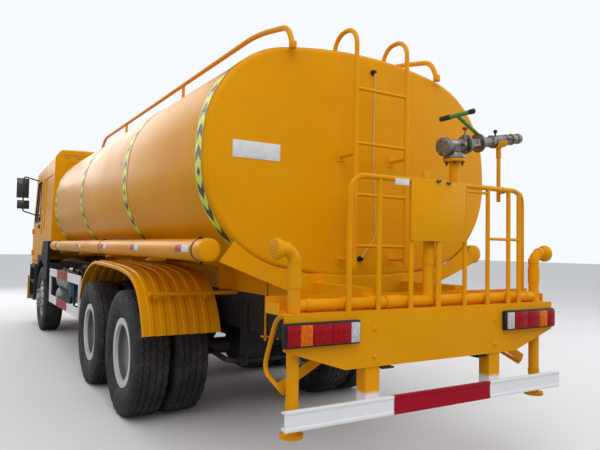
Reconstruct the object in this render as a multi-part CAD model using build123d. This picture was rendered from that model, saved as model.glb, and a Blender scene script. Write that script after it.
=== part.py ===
# A six-by-four water tanker truck, as separate pieces at their real size, in millimetres.
# X points to the truck's left, Y to its rear, Z up. The origin is on the ground,
# under the middle of the truck's length and width.
from build123d import *
import os
from math import cos, pi, radians, sin

os.makedirs("parts", exist_ok=True)

# Driving dimensions: the truck along its length
FRONT_OVERHANG = 1500
WHEELBASE = 4325
BOGIE_SPACING = 1350
REAR_OVERHANG = 2606
LENGTH = FRONT_OVERHANG + WHEELBASE + BOGIE_SPACING + REAR_OVERHANG
FRONT_Y = -LENGTH / 2
REAR_Y = LENGTH / 2
AXLE_1_Y = FRONT_Y + FRONT_OVERHANG
AXLE_2_Y = AXLE_1_Y + WHEELBASE
AXLE_3_Y = AXLE_2_Y + BOGIE_SPACING
SIDES = (("left", 1), ("right", -1))
GAP = 8

# Wheels: 20-inch rims, single in front, twins behind
TYRE_R = 540
TYRE_W = 300
SHOULDER_DROP = 16
BEAD_R = 255
RIM_FLANGE_R = 298
RIM_HALF = 120
RIM_WALL = 12
BEAD_HALF = RIM_HALF - RIM_WALL
TWIN_SPACING = 335
REAR_OUTER_X = 1098
REAR_INNER_X = REAR_OUTER_X - TWIN_SPACING
FRONT_WHEEL_X = 1024
WHEEL_Z = TYRE_R
HUB_R = 150
DISC_R = 168
DISC_WALL = 14
DISC_OFFSET = 150
HAND_HOLE_R = 26
HAND_HOLE_RING = 200
HAND_HOLES = 8
FRONT_HUB_X0 = 925
REAR_HUB_X0 = 640
FRONT_CAP_OUT = 200
FRONT_CAP_R = 70
REAR_CAP_OUT = 130
REAR_CAP_R = 95

# Steering
KINGPIN_X = 850
KINGPIN_R = 24
STEER_ARM_Y = 190
PLATE_T = 15
TIE_ROD_R = 18
WHEEL_SWEEP_R = 650

# Frame and springs
FRAME_HALF = 425
FRAME_BOTTOM = 800
FRAME_TOP = 1100
FRAME_WEB = 9
FRAME_FLANGE = 85
FRAME_FRONT_Y = FRONT_Y + 260
SUBFRAME_TOP = 1240
SUBFRAME_WIDTH = 80
SPRING_WIDTH = 90
SPRING_X = 395

# Tank: an ellipse-like section of four arcs with rounded corners
TANK_HALF = 1228
TANK_TOP = 2862
TANK_BOTTOM = 1268
TANK_REAR_Y = REAR_Y - 785
TANK_LENGTH = 5765
TANK_FRONT_Y = TANK_REAR_Y - TANK_LENGTH
TANK_TOP_R = 3400
TANK_BOTTOM_R = 3300
TANK_SIDE_R = 1700
TANK_SIDE_Z = 2005
TANK_CORNER_R = 680
TANK_KNUCKLE_R = 34

# Cab
CAB_HALF = 1160
CAB_LEAN = 30
CAB_LENGTH = 2400.5
CAB_REAR_Y = FRONT_Y + CAB_LENGTH
CAB_WALL = 45
CAB_ROOF = 3015
ROOF_SLOPE = 0.045
TUNNEL_LEAD = 300
CAB_REAR_BOTTOM = 1515
CAB_FLOOR_BOTTOM = 1270
CAB_SILL_BOTTOM = 1100
CAB_WAIST = 1790
TILT_Y = FRONT_Y + 120
TILT_Z = 950

# Rear platform, lamps and underrun bar
BOARD_REAR_Y = REAR_Y - 50
BOARD_T = 8
BOARD_HALF = 1067
BOARD_TOP = 1129
BOARD_END_LOW = 945
BOARD_LOW = 821
BOARD_LOW_HALF = 686
DECK_DEPTH = 206
DECK_LIP = 1181
DECK_FRONT_LIP = 1208
LAMP_SPANS = ((610, 1083), (-1057, -555))
LAMP_Z0 = 962
LAMP_Z1 = 1088
LAMP_PROUD = 45
BAR_HALF = 1080
BAR_Z0 = 557
BAR_Z1 = 663
BAR_DEPTH = 40

# Spray pipes
RISER_X = 972
PIPE_Y = BOARD_REAR_Y - 72
PIPE_Z = BOARD_TOP + 38
PIPE_R = 32
RISER_R = 34
COUPLING_R = 38
ELBOW_Z = 1461
RISER_BOTTOM = 500
HEAD_X = 1085
HEAD_R = 48


def box(x0, x1, y0, y1, z0, z1):
    """A plain block between two corners."""
    return Pos((x0 + x1) / 2, (y0 + y1) / 2, (z0 + z1) / 2) * Box(abs(x1 - x0), abs(y1 - y0), abs(z1 - z0))


def side_prism(outline, x0, x1):
    """A side-view outline of (y, z) points, carried from x0 to x1."""
    return extrude(Plane.YZ.offset(x0) * Polygon(*outline, align=None), x1 - x0, dir=(1, 0, 0))


def end_prism(outline, y0, y1):
    """A rear-view outline of (x, z) points, carried from y0 to y1."""
    return extrude(Plane.XZ.offset(-y0) * Polygon(*outline, align=None), y1 - y0, dir=(0, 1, 0))


def rod(a, b, radius):
    """A straight round bar from a to b."""
    start, end = Vector(*a), Vector(*b)
    return extrude(Plane(origin=start, z_dir=end - start) * Circle(radius), (end - start).length)


def cone(a, b, radius_a, radius_b):
    """A round bar from a to b that tapers."""
    start, end = Vector(*a), Vector(*b)
    return Plane(origin=(start + end) / 2, z_dir=end - start) * Cone(radius_a, radius_b, (end - start).length)


def bent_tube(points, radius, bend):
    """A round tube along straight runs with bends of one radius."""
    path = FilletPolyline(*points, radius=bend)
    return sweep(Plane(origin=path @ 0, z_dir=path % 0) * Circle(radius), path=path)


def wheel_turned(profile, x, y):
    """A (radius, offset) profile turned about the wheel axis at x, y; offsets grow towards +X."""
    face = make_face(Polyline(*[(0, offset, radius) for radius, offset in profile], close=True))
    turned = revolve(face, Axis.Y, 360)
    return Pos(x, y, WHEEL_Z) * Rot(0, 0, -90) * turned


def mirrored(shape):
    """The same piece on the other side of the truck."""
    return mirror(shape, Plane.YZ)


def both(shape):
    """A piece and its mirror image, as solids in one node."""
    return Compound(children=[*shape.solids(), *mirrored(shape).solids()])


def save(node, shape):
    """Writes one named piece."""
    solids = shape.solids()
    export_step(solids[0] if len(solids) == 1 else Compound(children=list(solids)), f"parts/{node}.step")


# Wheels
def tyre(x, y):
    crown = TYRE_R - SHOULDER_DROP
    half = TYRE_W / 2
    right = [(BEAD_R, BEAD_HALF), (RIM_FLANGE_R + 4, BEAD_HALF), (400, half), (495, half - 8), (crown, half - 26)]
    left = [(radius, -offset) for radius, offset in reversed(right)]
    profile = right + [(TYRE_R, half - 60), (TYRE_R, 60 - half)] + left
    return wheel_turned(profile, x, y)


def rim_barrel(x, y):
    outer = [(BEAD_R, -BEAD_HALF), (RIM_FLANGE_R, -BEAD_HALF), (RIM_FLANGE_R, -RIM_HALF), (BEAD_R - RIM_WALL, -RIM_HALF)]
    outer += [(BEAD_R - RIM_WALL, RIM_HALF), (RIM_FLANGE_R, RIM_HALF), (RIM_FLANGE_R, BEAD_HALF), (BEAD_R, BEAD_HALF)]
    return wheel_turned(outer, x, y)


def rim_disc(x, y, outward):
    """A dished disc: its middle stands DISC_OFFSET towards outward, its edge meets the barrel."""
    inner_r = BEAD_R - RIM_WALL
    edge = outward * (DISC_OFFSET - 75)
    face = outward * DISC_OFFSET
    back = -outward * DISC_WALL
    profile = [(60, face), (DISC_R, face), (inner_r, edge), (inner_r, edge + back), (DISC_R - 4, face + back), (60, face + back)]
    disc = wheel_turned(profile, x, y)
    for index in range(HAND_HOLES):
        turn = 2 * pi * index / HAND_HOLES
        hole_y = y + HAND_HOLE_RING * cos(turn)
        hole_z = WHEEL_Z + HAND_HOLE_RING * sin(turn)
        disc -= rod((x - 200, hole_y, hole_z), (x + 200, hole_y, hole_z), HAND_HOLE_R)
    return disc


def hub(x0, x1, y, radius, cap_x, cap_r):
    """A drum from x0 to x1 with a hub cap out to cap_x."""
    return rod((x0, y, WHEEL_Z), (x1, y, WHEEL_Z), radius) + rod((x1, y, WHEEL_Z), (cap_x, y, WHEEL_Z), cap_r)


def front_wheel(side, sign):
    """A single front wheel: its dish stands outwards."""
    x = sign * FRONT_WHEEL_X
    rim = rim_barrel(x, AXLE_1_Y) + rim_disc(x, AXLE_1_Y, sign)
    rim += hub(sign * FRONT_HUB_X0, x + sign * DISC_OFFSET, AXLE_1_Y, HUB_R, x + sign * FRONT_CAP_OUT, FRONT_CAP_R)
    save(f"front_tyre_{side}", tyre(x, AXLE_1_Y))
    save(f"front_rim_{side}", rim)


def twin_wheel(axle, y, side, sign):
    """Two wheels on one hub: the outer one's dish stands inwards, against the inner one's."""
    outer_x, inner_x = sign * REAR_OUTER_X, sign * REAR_INNER_X
    mating_x = (outer_x + inner_x) / 2
    rims = rim_barrel(outer_x, y) + rim_barrel(inner_x, y) + rim_disc(outer_x, y, -sign) + rim_disc(inner_x, y, sign)
    rims += hub(sign * REAR_HUB_X0, mating_x + sign * 20, y, HUB_R, mating_x + sign * REAR_CAP_OUT, REAR_CAP_R)
    save(f"{axle}_tyres_{side}", tyre(outer_x, y) + tyre(inner_x, y))
    save(f"{axle}_rims_{side}", rims)


for side, sign in SIDES:
    front_wheel(side, sign)
    twin_wheel("middle", AXLE_2_Y, side, sign)
    twin_wheel("rear", AXLE_3_Y, side, sign)


# Steering: knuckles on their kingpins, and the tie rod that joins their arms
LUG_IN = 70
LUG_OUT = 120
LUG_HALF = 45
ARM_HALF = 25
ARM_T = 30
PLATE_HALF = 60
ARM_TOP = WHEEL_Z - LUG_OUT + ARM_T + 5
TIE_Z = WHEEL_Z - 150
TIE_PIVOT_Y = AXLE_1_Y + STEER_ARM_Y
TIE_EYE_R = 30
TIE_EYE_HALF = 20
TIE_PIN_R = 12
PIN_PLAY = 0.5


def knuckle(sign):
    """Two lugs over and under the axle's end, the wheel's plate, the kingpin and the arm."""
    pin_x = sign * KINGPIN_X
    plate_x = sign * (FRONT_HUB_X0 - 5)
    piece = rod((pin_x, AXLE_1_Y, WHEEL_Z - LUG_OUT), (pin_x, AXLE_1_Y, WHEEL_Z + LUG_OUT), KINGPIN_R)
    for z0, z1 in ((WHEEL_Z - LUG_OUT, WHEEL_Z - LUG_IN), (WHEEL_Z + LUG_IN, WHEEL_Z + LUG_OUT)):
        piece += rod((pin_x, AXLE_1_Y, z0), (pin_x, AXLE_1_Y, z1), LUG_HALF)
        piece += box(pin_x, plate_x, AXLE_1_Y - LUG_HALF, AXLE_1_Y + LUG_HALF, z0, z1)
    piece += box(plate_x - sign * PLATE_T, plate_x, AXLE_1_Y - PLATE_HALF, AXLE_1_Y + PLATE_HALF,
                 WHEEL_Z - LUG_OUT, WHEEL_Z + LUG_OUT)
    piece += box(pin_x - ARM_HALF, pin_x + ARM_HALF, AXLE_1_Y, TIE_PIVOT_Y + ARM_HALF, ARM_TOP - ARM_T, ARM_TOP)
    piece += rod((pin_x, TIE_PIVOT_Y, ARM_TOP), (pin_x, TIE_PIVOT_Y, TIE_Z - TIE_EYE_HALF - 6), TIE_PIN_R)
    return piece


for side, sign in SIDES:
    save(f"knuckle_{side}", knuckle(sign))

tie_rod = rod((-KINGPIN_X, TIE_PIVOT_Y, TIE_Z), (KINGPIN_X, TIE_PIVOT_Y, TIE_Z), TIE_ROD_R)
for side, sign in SIDES:
    eye_x = sign * KINGPIN_X
    tie_rod += rod((eye_x, TIE_PIVOT_Y, TIE_Z - TIE_EYE_HALF), (eye_x, TIE_PIVOT_Y, TIE_Z + TIE_EYE_HALF), TIE_EYE_R)
for side, sign in SIDES:
    eye_x = sign * KINGPIN_X
    tie_rod -= rod((eye_x, TIE_PIVOT_Y, TIE_Z - LUG_IN), (eye_x, TIE_PIVOT_Y, TIE_Z + LUG_IN), TIE_PIN_R + PIN_PLAY)
save("tie_rod", tie_rod)

# Front axle: a forged beam that dips in the middle, with an eye for each kingpin
BEAM_HALF = 50
BEAM_LOW = WHEEL_Z - 85
BEAM_END_TOP = WHEEL_Z + 5
EYE_R = 50
EYE_HALF = LUG_IN - 8
beam = end_prism([(-790, BEAM_LOW), (790, BEAM_LOW), (790, BEAM_END_TOP), (620, WHEEL_Z - 10), (460, WHEEL_Z - 40),
                  (-460, WHEEL_Z - 40), (-620, WHEEL_Z - 10), (-790, BEAM_END_TOP)],
                 AXLE_1_Y - BEAM_HALF, AXLE_1_Y + BEAM_HALF)
for side, sign in SIDES:
    eye_x = sign * KINGPIN_X
    beam -= box(sign * 775, sign * 800, AXLE_1_Y - 60, AXLE_1_Y + 60, WHEEL_Z - 140, WHEEL_Z - EYE_HALF)
    beam += box(sign * 740, eye_x, AXLE_1_Y - 40, AXLE_1_Y + 40, WHEEL_Z - EYE_HALF, BEAM_END_TOP)
    beam += rod((eye_x, AXLE_1_Y, WHEEL_Z - EYE_HALF), (eye_x, AXLE_1_Y, WHEEL_Z + EYE_HALF), EYE_R)
    beam -= rod((eye_x, AXLE_1_Y, WHEEL_Z - 140), (eye_x, AXLE_1_Y, WHEEL_Z + 160), KINGPIN_R + PIN_PLAY)
save("front_axle", beam)

# Drive axles: a tube with a round casing in the middle, and the shafts that drive them
CASING_R = 235
AXLE_TUBE_R = 75
SEAT_TOP = 618
SHAFT_Z = 760
GEARBOX_END_Y = AXLE_1_Y + 1150
REAR_SPRING_X0 = SPRING_X + 60
REAR_SPRING_X1 = SPRING_X + 150
CASING_HALF = 170
axles = []
for axle_y in (AXLE_2_Y, AXLE_3_Y):
    axle = Pos(0, axle_y, WHEEL_Z) * Sphere(CASING_R)
    axle &= box(-CASING_R, CASING_R, axle_y - CASING_HALF, axle_y + CASING_HALF, WHEEL_Z - CASING_R, WHEEL_Z + CASING_R)
    axle += rod((-630, axle_y, WHEEL_Z), (630, axle_y, WHEEL_Z), AXLE_TUBE_R)
    for side, sign in SIDES:
        axle += box(sign * REAR_SPRING_X0, sign * REAR_SPRING_X1, axle_y - 60, axle_y + 60, WHEEL_Z, SEAT_TOP)
    axles += axle.solids()
save("drive_axles", Compound(children=axles))
front_shaft = rod((0, GEARBOX_END_Y, SHAFT_Z), (0, AXLE_1_Y + 1700, SHAFT_Z), 50)
front_shaft += rod((0, AXLE_1_Y + 1690, SHAFT_Z), (0, AXLE_2_Y - CASING_HALF + 10, WHEEL_Z + 60), 50)
rear_shaft = rod((0, AXLE_2_Y + CASING_HALF, WHEEL_Z + 60), (0, AXLE_3_Y - CASING_HALF, WHEEL_Z + 60), 45)
save("propeller_shafts", Compound(children=[*(front_shaft - axles[0]).solids(), *rear_shaft.solids()]))

# Springs: stacked leaves between frame and axles
front_spring = side_prism([(AXLE_1_Y - 800, 680), (AXLE_1_Y - 200, 570), (AXLE_1_Y + 200, 570), (AXLE_1_Y + 800, 680),
                           (AXLE_1_Y + 800, 700), (AXLE_1_Y + 200, 600), (AXLE_1_Y - 200, 600), (AXLE_1_Y - 800, 700)],
                          SPRING_X - SPRING_WIDTH / 2, SPRING_X + SPRING_WIDTH / 2)
front_spring += box(SPRING_X - 45, SPRING_X + 45, AXLE_1_Y - 60, AXLE_1_Y + 60, 500, 575)
for end in (-1, 1):
    hanger_y = AXLE_1_Y + end * 800
    front_spring += box(SPRING_X - 40, SPRING_X + 28, hanger_y - 50, hanger_y + 50, 660, FRAME_BOTTOM)
BOGIE_Y = (AXLE_2_Y + AXLE_3_Y) / 2
HALF_BOGIE = BOGIE_SPACING / 2
rear_spring = side_prism([(BOGIE_Y - HALF_BOGIE - 70, SEAT_TOP), (BOGIE_Y - HALF_BOGIE + 70, SEAT_TOP), (BOGIE_Y - 200, 690),
                          (BOGIE_Y + 200, 690), (BOGIE_Y + HALF_BOGIE - 70, SEAT_TOP), (BOGIE_Y + HALF_BOGIE + 70, SEAT_TOP),
                          (BOGIE_Y + HALF_BOGIE + 70, 650), (BOGIE_Y + 250, 770), (BOGIE_Y - 250, 770),
                          (BOGIE_Y - HALF_BOGIE - 70, 650)], REAR_SPRING_X0, REAR_SPRING_X1)
rear_spring += box(SPRING_X - 60, SPRING_X + 150, BOGIE_Y - 130, BOGIE_Y + 130, 560, 690)
rear_spring += box(SPRING_X - 60, SPRING_X + 20, BOGIE_Y - 130, BOGIE_Y + 130, 690, FRAME_BOTTOM)
save("leaf_springs", Compound(children=[*both(front_spring).solids(), *both(rear_spring).solids()]))

# Frame: two channel rails joined by cross members
rail = box(FRAME_HALF - FRAME_FLANGE, FRAME_HALF, FRAME_FRONT_Y, BOARD_REAR_Y - BOARD_T, FRAME_BOTTOM, FRAME_TOP)
rail -= box(FRAME_HALF - FRAME_FLANGE - 1, FRAME_HALF - FRAME_WEB, FRAME_FRONT_Y - 1, REAR_Y,
            FRAME_BOTTOM + FRAME_WEB, FRAME_TOP - FRAME_WEB)
save("frame_rails", both(rail))
members = []
for member_y in (FRAME_FRONT_Y + 80, AXLE_1_Y + 1250, AXLE_2_Y - 900, BOGIE_Y, AXLE_3_Y + 1000, BOARD_REAR_Y - 150):
    members += box(FRAME_WEB - FRAME_HALF, FRAME_HALF - FRAME_WEB, member_y - 45, member_y + 45,
                   FRAME_TOP - 110, FRAME_TOP - FRAME_WEB).solids()
TILT_PIN_R = 25
TILT_BRACKET = 28
tilt_pivot = rod((-FRAME_HALF, TILT_Y, TILT_Z), (FRAME_HALF, TILT_Y, TILT_Z), TILT_PIN_R)
for side, sign in SIDES:
    tilt_pivot += box(sign * (FRAME_HALF - 20), sign * FRAME_HALF, TILT_Y - TILT_BRACKET, FRAME_FRONT_Y,
                      TILT_Z - TILT_BRACKET, TILT_Z + TILT_BRACKET)
members += tilt_pivot.solids()
save("cross_members", Compound(children=members))
ROLL_BAR_Y = AXLE_3_Y + 790
ROLL_BAR_Z = 545
ROLL_BAR_R = 22
ROLL_BAR_X = 562
roll_bar = bent_tube([(ROLL_BAR_X, AXLE_3_Y + 70, WHEEL_Z + 68), (ROLL_BAR_X, ROLL_BAR_Y, ROLL_BAR_Z),
                      (-ROLL_BAR_X, ROLL_BAR_Y, ROLL_BAR_Z), (-ROLL_BAR_X, AXLE_3_Y + 70, WHEEL_Z + 68)], ROLL_BAR_R, 90)
for side, sign in SIDES:
    roll_bar += box(sign * (FRAME_HALF + 2), sign * (FRAME_HALF + 14), ROLL_BAR_Y - 60, ROLL_BAR_Y + 60, ROLL_BAR_Z, 1010)
    roll_bar += box(sign * (FRAME_HALF - 20), sign * (FRAME_HALF + 50), ROLL_BAR_Y - 34, ROLL_BAR_Y + 34,
                    ROLL_BAR_Z - 34, ROLL_BAR_Z + 34)
save("anti_roll_bar", roll_bar)

# Engine with its gearbox, as one plain block
engine = box(-310, 310, AXLE_1_Y - 620, AXLE_1_Y + 620, 700, 1240)
engine += box(-230, 230, AXLE_1_Y + 620, GEARBOX_END_Y, 640, 900)
save("engine_block", engine)


# Tank, and the subframe and saddles that carry it
def tank_section():
    """The tank's outline: four large arcs, with their corners rounded."""
    top = Pos(0, TANK_TOP - TANK_TOP_R) * Circle(TANK_TOP_R)
    bottom = Pos(0, TANK_BOTTOM + TANK_BOTTOM_R) * Circle(TANK_BOTTOM_R)
    left = Pos(TANK_HALF - TANK_SIDE_R, TANK_SIDE_Z) * Circle(TANK_SIDE_R)
    right = Pos(TANK_SIDE_R - TANK_HALF, TANK_SIDE_Z) * Circle(TANK_SIDE_R)
    section = top & bottom & left & right
    return fillet(section.vertices(), TANK_CORNER_R)


tank_room = extrude(Plane.XZ.offset(-TANK_FRONT_Y) * tank_section(), TANK_LENGTH, dir=(0, 1, 0))
save("water_tank", fillet(tank_room.edges().filter_by(Axis.Y, reverse=True), TANK_KNUCKLE_R))

SADDLE_T = 10
SADDLE_HALF = 1040
SKIRT_Y = TANK_REAR_Y - SADDLE_T
FEED_X = 307
FEED_Z = PIPE_Z - 5
FEED_R = 28
FEED_HOLE_R = 50
DECK_Y0 = BOARD_REAR_Y - DECK_DEPTH
SADDLE_YS = [TANK_FRONT_Y + 300, TANK_FRONT_Y + 1700, TANK_FRONT_Y + 3100, TANK_FRONT_Y + 4500]
saddle_half_outline = [(560, SUBFRAME_TOP - 130), (560, 1295), (SADDLE_HALF, 1390), (SADDLE_HALF, 1500)]
skirt_half_outline = [(560, 1060), (622, 1188), (870, 1282), (1110, 1376), (1200, 1560)]


def symmetric(half_outline):
    """A closed outline from its left half."""
    return [(-x, z) for x, z in reversed(half_outline)] + half_outline


beams = both(box(FRAME_HALF - SUBFRAME_WIDTH, FRAME_HALF, TANK_FRONT_Y + 40, DECK_Y0, FRAME_TOP, SUBFRAME_TOP))
skirt = end_prism(symmetric(skirt_half_outline), SKIRT_Y, TANK_REAR_Y) - tank_room
skirt -= rod((FEED_X, SKIRT_Y - 50, FEED_Z), (FEED_X, TANK_REAR_Y + 50, FEED_Z), FEED_HOLE_R)
skirt -= box(-FRAME_HALF - 5, FRAME_HALF + 5, TANK_FRONT_Y, REAR_Y, 700, FRAME_TOP)
save("rear_skirt", skirt - beams)
saddles = []
for saddle_y in SADDLE_YS:
    saddle = end_prism(symmetric(saddle_half_outline), saddle_y - SADDLE_T / 2, saddle_y + SADDLE_T / 2)
    saddles += (saddle - tank_room - beams).solids()
save("tank_saddles", Compound(children=saddles))
U_BOLT_R = 10
u_bolts = [*beams.solids()]
for u_bolt_y in (TANK_FRONT_Y + 900, TANK_REAR_Y - 650):
    bolt = bent_tube([(FRAME_HALF + 12, u_bolt_y, FRAME_BOTTOM - 40), (FRAME_HALF + 12, u_bolt_y, SUBFRAME_TOP + 12),
                      (FRAME_HALF - FRAME_FLANGE - 12, u_bolt_y, SUBFRAME_TOP + 12),
                      (FRAME_HALF - FRAME_FLANGE - 12, u_bolt_y, FRAME_BOTTOM - 40)], U_BOLT_R, 15)
    bolt += box(FRAME_HALF - FRAME_FLANGE - 40, FRAME_HALF + 40, u_bolt_y - 30, u_bolt_y + 30, FRAME_BOTTOM - 14, FRAME_BOTTOM - 1)
    u_bolts += both(bolt).solids()
save("subframe_beams", Compound(children=u_bolts))

# Hose tubes along both sides, on brackets that stand on the saddles' ends
TUBE_X = 1160
TUBE_Z = 1446
TUBE_R = 71
TUBE_REAR_Y = TANK_REAR_Y - 38
TUBE_LENGTH = 6096
TUBE_FRONT_Y = TUBE_REAR_Y - TUBE_LENGTH
tube_room = rod((TUBE_X, TUBE_FRONT_Y, TUBE_Z), (TUBE_X, TUBE_REAR_Y, TUBE_Z), TUBE_R)
hose_tube = tube_room
for bracket_y in SADDLE_YS:
    foot = box(SADDLE_HALF, TUBE_X + 20, bracket_y - 30, bracket_y + 30, TUBE_Z - TUBE_R - 24, TUBE_Z)
    hose_tube += foot - box(TUBE_X, TUBE_X + 50, bracket_y - 50, bracket_y + 50, TUBE_Z - TUBE_R - 10, TUBE_Z + 1) - tank_room
save("hose_tubes", both(hose_tube))

# Rear platform: a board with a shallow tray behind it, and a step on each side
STEP_TUBE_R = 14
STEP_XS = (700, 960)
STEP_LOW_Z = 689
board = end_prism([(-BOARD_HALF, BOARD_TOP), (-BOARD_HALF, BOARD_END_LOW), (-BOARD_LOW_HALF, BOARD_LOW),
                   (BOARD_LOW_HALF, BOARD_LOW), (BOARD_HALF, BOARD_END_LOW), (BOARD_HALF, BOARD_TOP)],
                  BOARD_REAR_Y - BOARD_T, BOARD_REAR_Y)
platform = board + box(-BOARD_HALF, BOARD_HALF, DECK_Y0, BOARD_REAR_Y - BOARD_T, BOARD_TOP - BOARD_T, BOARD_TOP)
platform += box(-BOARD_HALF, BOARD_HALF, DECK_Y0, DECK_Y0 + BOARD_T, BOARD_TOP, DECK_FRONT_LIP)
for side, sign in SIDES:
    platform += box(sign * (BOARD_HALF - BOARD_T), sign * BOARD_HALF, DECK_Y0, BOARD_REAR_Y - BOARD_T - 60, BOARD_TOP, DECK_LIP)
    platform += box(sign * FRAME_HALF, sign * (FRAME_HALF + 10), BOARD_REAR_Y - 260, BOARD_REAR_Y - BOARD_T,
                    FRAME_BOTTOM + 30, BOARD_TOP - BOARD_T)
    platform -= rod((sign * RISER_X, PIPE_Y, 800), (sign * RISER_X, PIPE_Y, 1300), RISER_R)
    for step_x in STEP_XS:
        x = sign * step_x
        platform += bent_tube([(x, BOARD_REAR_Y - 150, BOARD_TOP - BOARD_T - STEP_TUBE_R), (x, BOARD_REAR_Y - 271, 1083),
                               (x, BOARD_REAR_Y - 418, 768), (x, BOARD_REAR_Y - 183, STEP_LOW_Z)], STEP_TUBE_R, 40)
        platform += box(x - 12, x + 12, BOARD_REAR_Y - 200, BOARD_REAR_Y - 130, BOARD_TOP - BOARD_T - STEP_TUBE_R,
                        BOARD_TOP - BOARD_T)
    platform += box(sign * STEP_XS[0], sign * STEP_XS[1], BOARD_REAR_Y - 330, BOARD_REAR_Y - 190, STEP_LOW_Z + 10, STEP_LOW_Z + 20)
platform -= rod((FEED_X, DECK_Y0 - 50, FEED_Z), (FEED_X, DECK_Y0 + 50, FEED_Z), PIPE_R)
platform -= rod((-RISER_X, PIPE_Y, PIPE_Z), (RISER_X, PIPE_Y, PIPE_Z), PIPE_R)
save("rear_platform", platform)

# Tail lamps
lamps = []
for lamp_x0, lamp_x1 in LAMP_SPANS:
    lamp = box(lamp_x0, lamp_x1, BOARD_REAR_Y, BOARD_REAR_Y + LAMP_PROUD, LAMP_Z0, LAMP_Z1)
    lamps += fillet(lamp.edges().filter_by(Axis.Y), 8).solids()
save("tail_lamps", Compound(children=lamps))

# Underrun bar on two posts
bar_outline = [(REAR_Y, BAR_Z0), (REAR_Y, BAR_Z1), (REAR_Y - BAR_DEPTH, BAR_Z1 - 8), (REAR_Y - BAR_DEPTH, BAR_Z1 - 20),
               (REAR_Y - 12, BAR_Z1 - 14), (REAR_Y - 12, BAR_Z0 + 14), (REAR_Y - BAR_DEPTH, BAR_Z0 + 20),
               (REAR_Y - BAR_DEPTH, BAR_Z0 + 8)]
POST_IN = FRAME_HALF + 21
POST_OUT = FRAME_HALF + 118
underrun = side_prism(bar_outline, -BAR_HALF, BAR_HALF)
for side, sign in SIDES:
    underrun += box(sign * POST_IN, sign * POST_OUT, BOARD_REAR_Y - 90, BOARD_REAR_Y - BOARD_T, BAR_Z0 + 26, FRAME_TOP - 30)
    underrun += box(sign * POST_IN, sign * POST_OUT, BOARD_REAR_Y - 90, REAR_Y - 12, BAR_Z0 + 26, BAR_Z1 - 26)
    underrun += box(sign * (FRAME_HALF + 10), sign * POST_IN, BOARD_REAR_Y - 90, BOARD_REAR_Y - BOARD_T - 10, 840,
                    FRAME_TOP - 30)
save("underrun_bar", underrun)

# Guard fence on the deck, with its panel and the cannon's rest
CANNON_X = -192
FENCE_Y = BOARD_REAR_Y - 20
FENCE_TOP = 1877
FENCE_RAIL_R = 16
FENCE_END_X = 657
LEG_X = -945
LEG_Y = BOARD_REAR_Y - 150
REST_X = -597
REST_TOP = 2160
fence = bent_tube([(FENCE_END_X, FENCE_Y, BOARD_TOP), (FENCE_END_X, FENCE_Y, FENCE_TOP), (-700, FENCE_Y, FENCE_TOP),
                   (LEG_X, LEG_Y, FENCE_TOP - 10), (LEG_X, LEG_Y, BOARD_TOP)], FENCE_RAIL_R, 100)
for post_x, post_r in ((451, 14), (211, 14), (-9, 18), (-234, 14), (-442, 14), (-641, 14)):
    fence += rod((post_x, FENCE_Y, BOARD_TOP), (post_x, FENCE_Y, FENCE_TOP), post_r)
fence += rod((-442, FENCE_Y, 1550), (-760, FENCE_Y, 1550), 10)
fence += rod((-217, FENCE_Y + 5, FENCE_TOP - 34), (-442, FENCE_Y, FENCE_TOP - 34), 9)
fence += rod((-745, FENCE_Y, FENCE_TOP - 20), (-745, FENCE_Y, BOARD_TOP), 14)
fence += box(-217, 230, FENCE_Y + 13, FENCE_Y + 16, 1523, 1887)
fence += box(-217, 230, FENCE_Y + 6, FENCE_Y + 16, 1884, 1887)
fence += bent_tube([(REST_X + 20, FENCE_Y, FENCE_TOP), (REST_X + 20, FENCE_Y, REST_TOP - 90), (REST_X, PIPE_Y, REST_TOP - 6)], 12, 30)
fence += box(REST_X - 18, REST_X + 18, PIPE_Y - 40, PIPE_Y + 40, REST_TOP - 8, REST_TOP)
save("guard_fence", fence)

# Spray pipes: risers, the pipe along the back, the feed and the cannon's stand pipe
STAND_X = 22
STAND_R = 24
SWIVEL_Z0 = 2029
SWIVEL_MID = 2048
SWIVEL_TOP = 2067
SWIVEL_R = 80
DRAIN_FLANGE_R = 62
DRAIN_PCD = 98
DRAIN_HOLE_R = 7
STAND_FOOT_R = 35
STAND_FOOT_TOP = 1560
RISER_COLLARS = ((1131, 1200, 37), (1257, 1363, COUPLING_R), (1392, 1424, 37), (640, 668, 37))
PIPE_COLLARS = ((862, 906), (440, 482), (640, 682))
pipes = rod((-RISER_X, PIPE_Y, PIPE_Z), (RISER_X, PIPE_Y, PIPE_Z), PIPE_R)
for side, sign in SIDES:
    riser_x, head_x = sign * RISER_X, sign * HEAD_X
    pipes += bent_tube([(riser_x, PIPE_Y, RISER_BOTTOM), (riser_x, PIPE_Y, ELBOW_Z), (head_x, PIPE_Y, ELBOW_Z)], RISER_R, 70)
    head_tip = (head_x + sign * 8, PIPE_Y + 6, ELBOW_Z)
    pipes += cone((sign * (HEAD_X - 75), PIPE_Y, ELBOW_Z), (sign * (HEAD_X - 20), PIPE_Y, ELBOW_Z), RISER_R + 2, HEAD_R - 5)
    pipes += rod((sign * (HEAD_X - 30), PIPE_Y, ELBOW_Z), head_tip, HEAD_R)
    pipes += rod((riser_x, PIPE_Y, RISER_BOTTOM - 10), (riser_x, PIPE_Y, RISER_BOTTOM + 10), DRAIN_FLANGE_R)
    for turn in (45, 135, 225, 315):
        hole_x = riser_x + DRAIN_PCD / 2 * cos(radians(turn))
        hole_y = PIPE_Y + DRAIN_PCD / 2 * sin(radians(turn))
        pipes -= rod((hole_x, hole_y, RISER_BOTTOM - 20), (hole_x, hole_y, RISER_BOTTOM + 20), DRAIN_HOLE_R)
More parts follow.
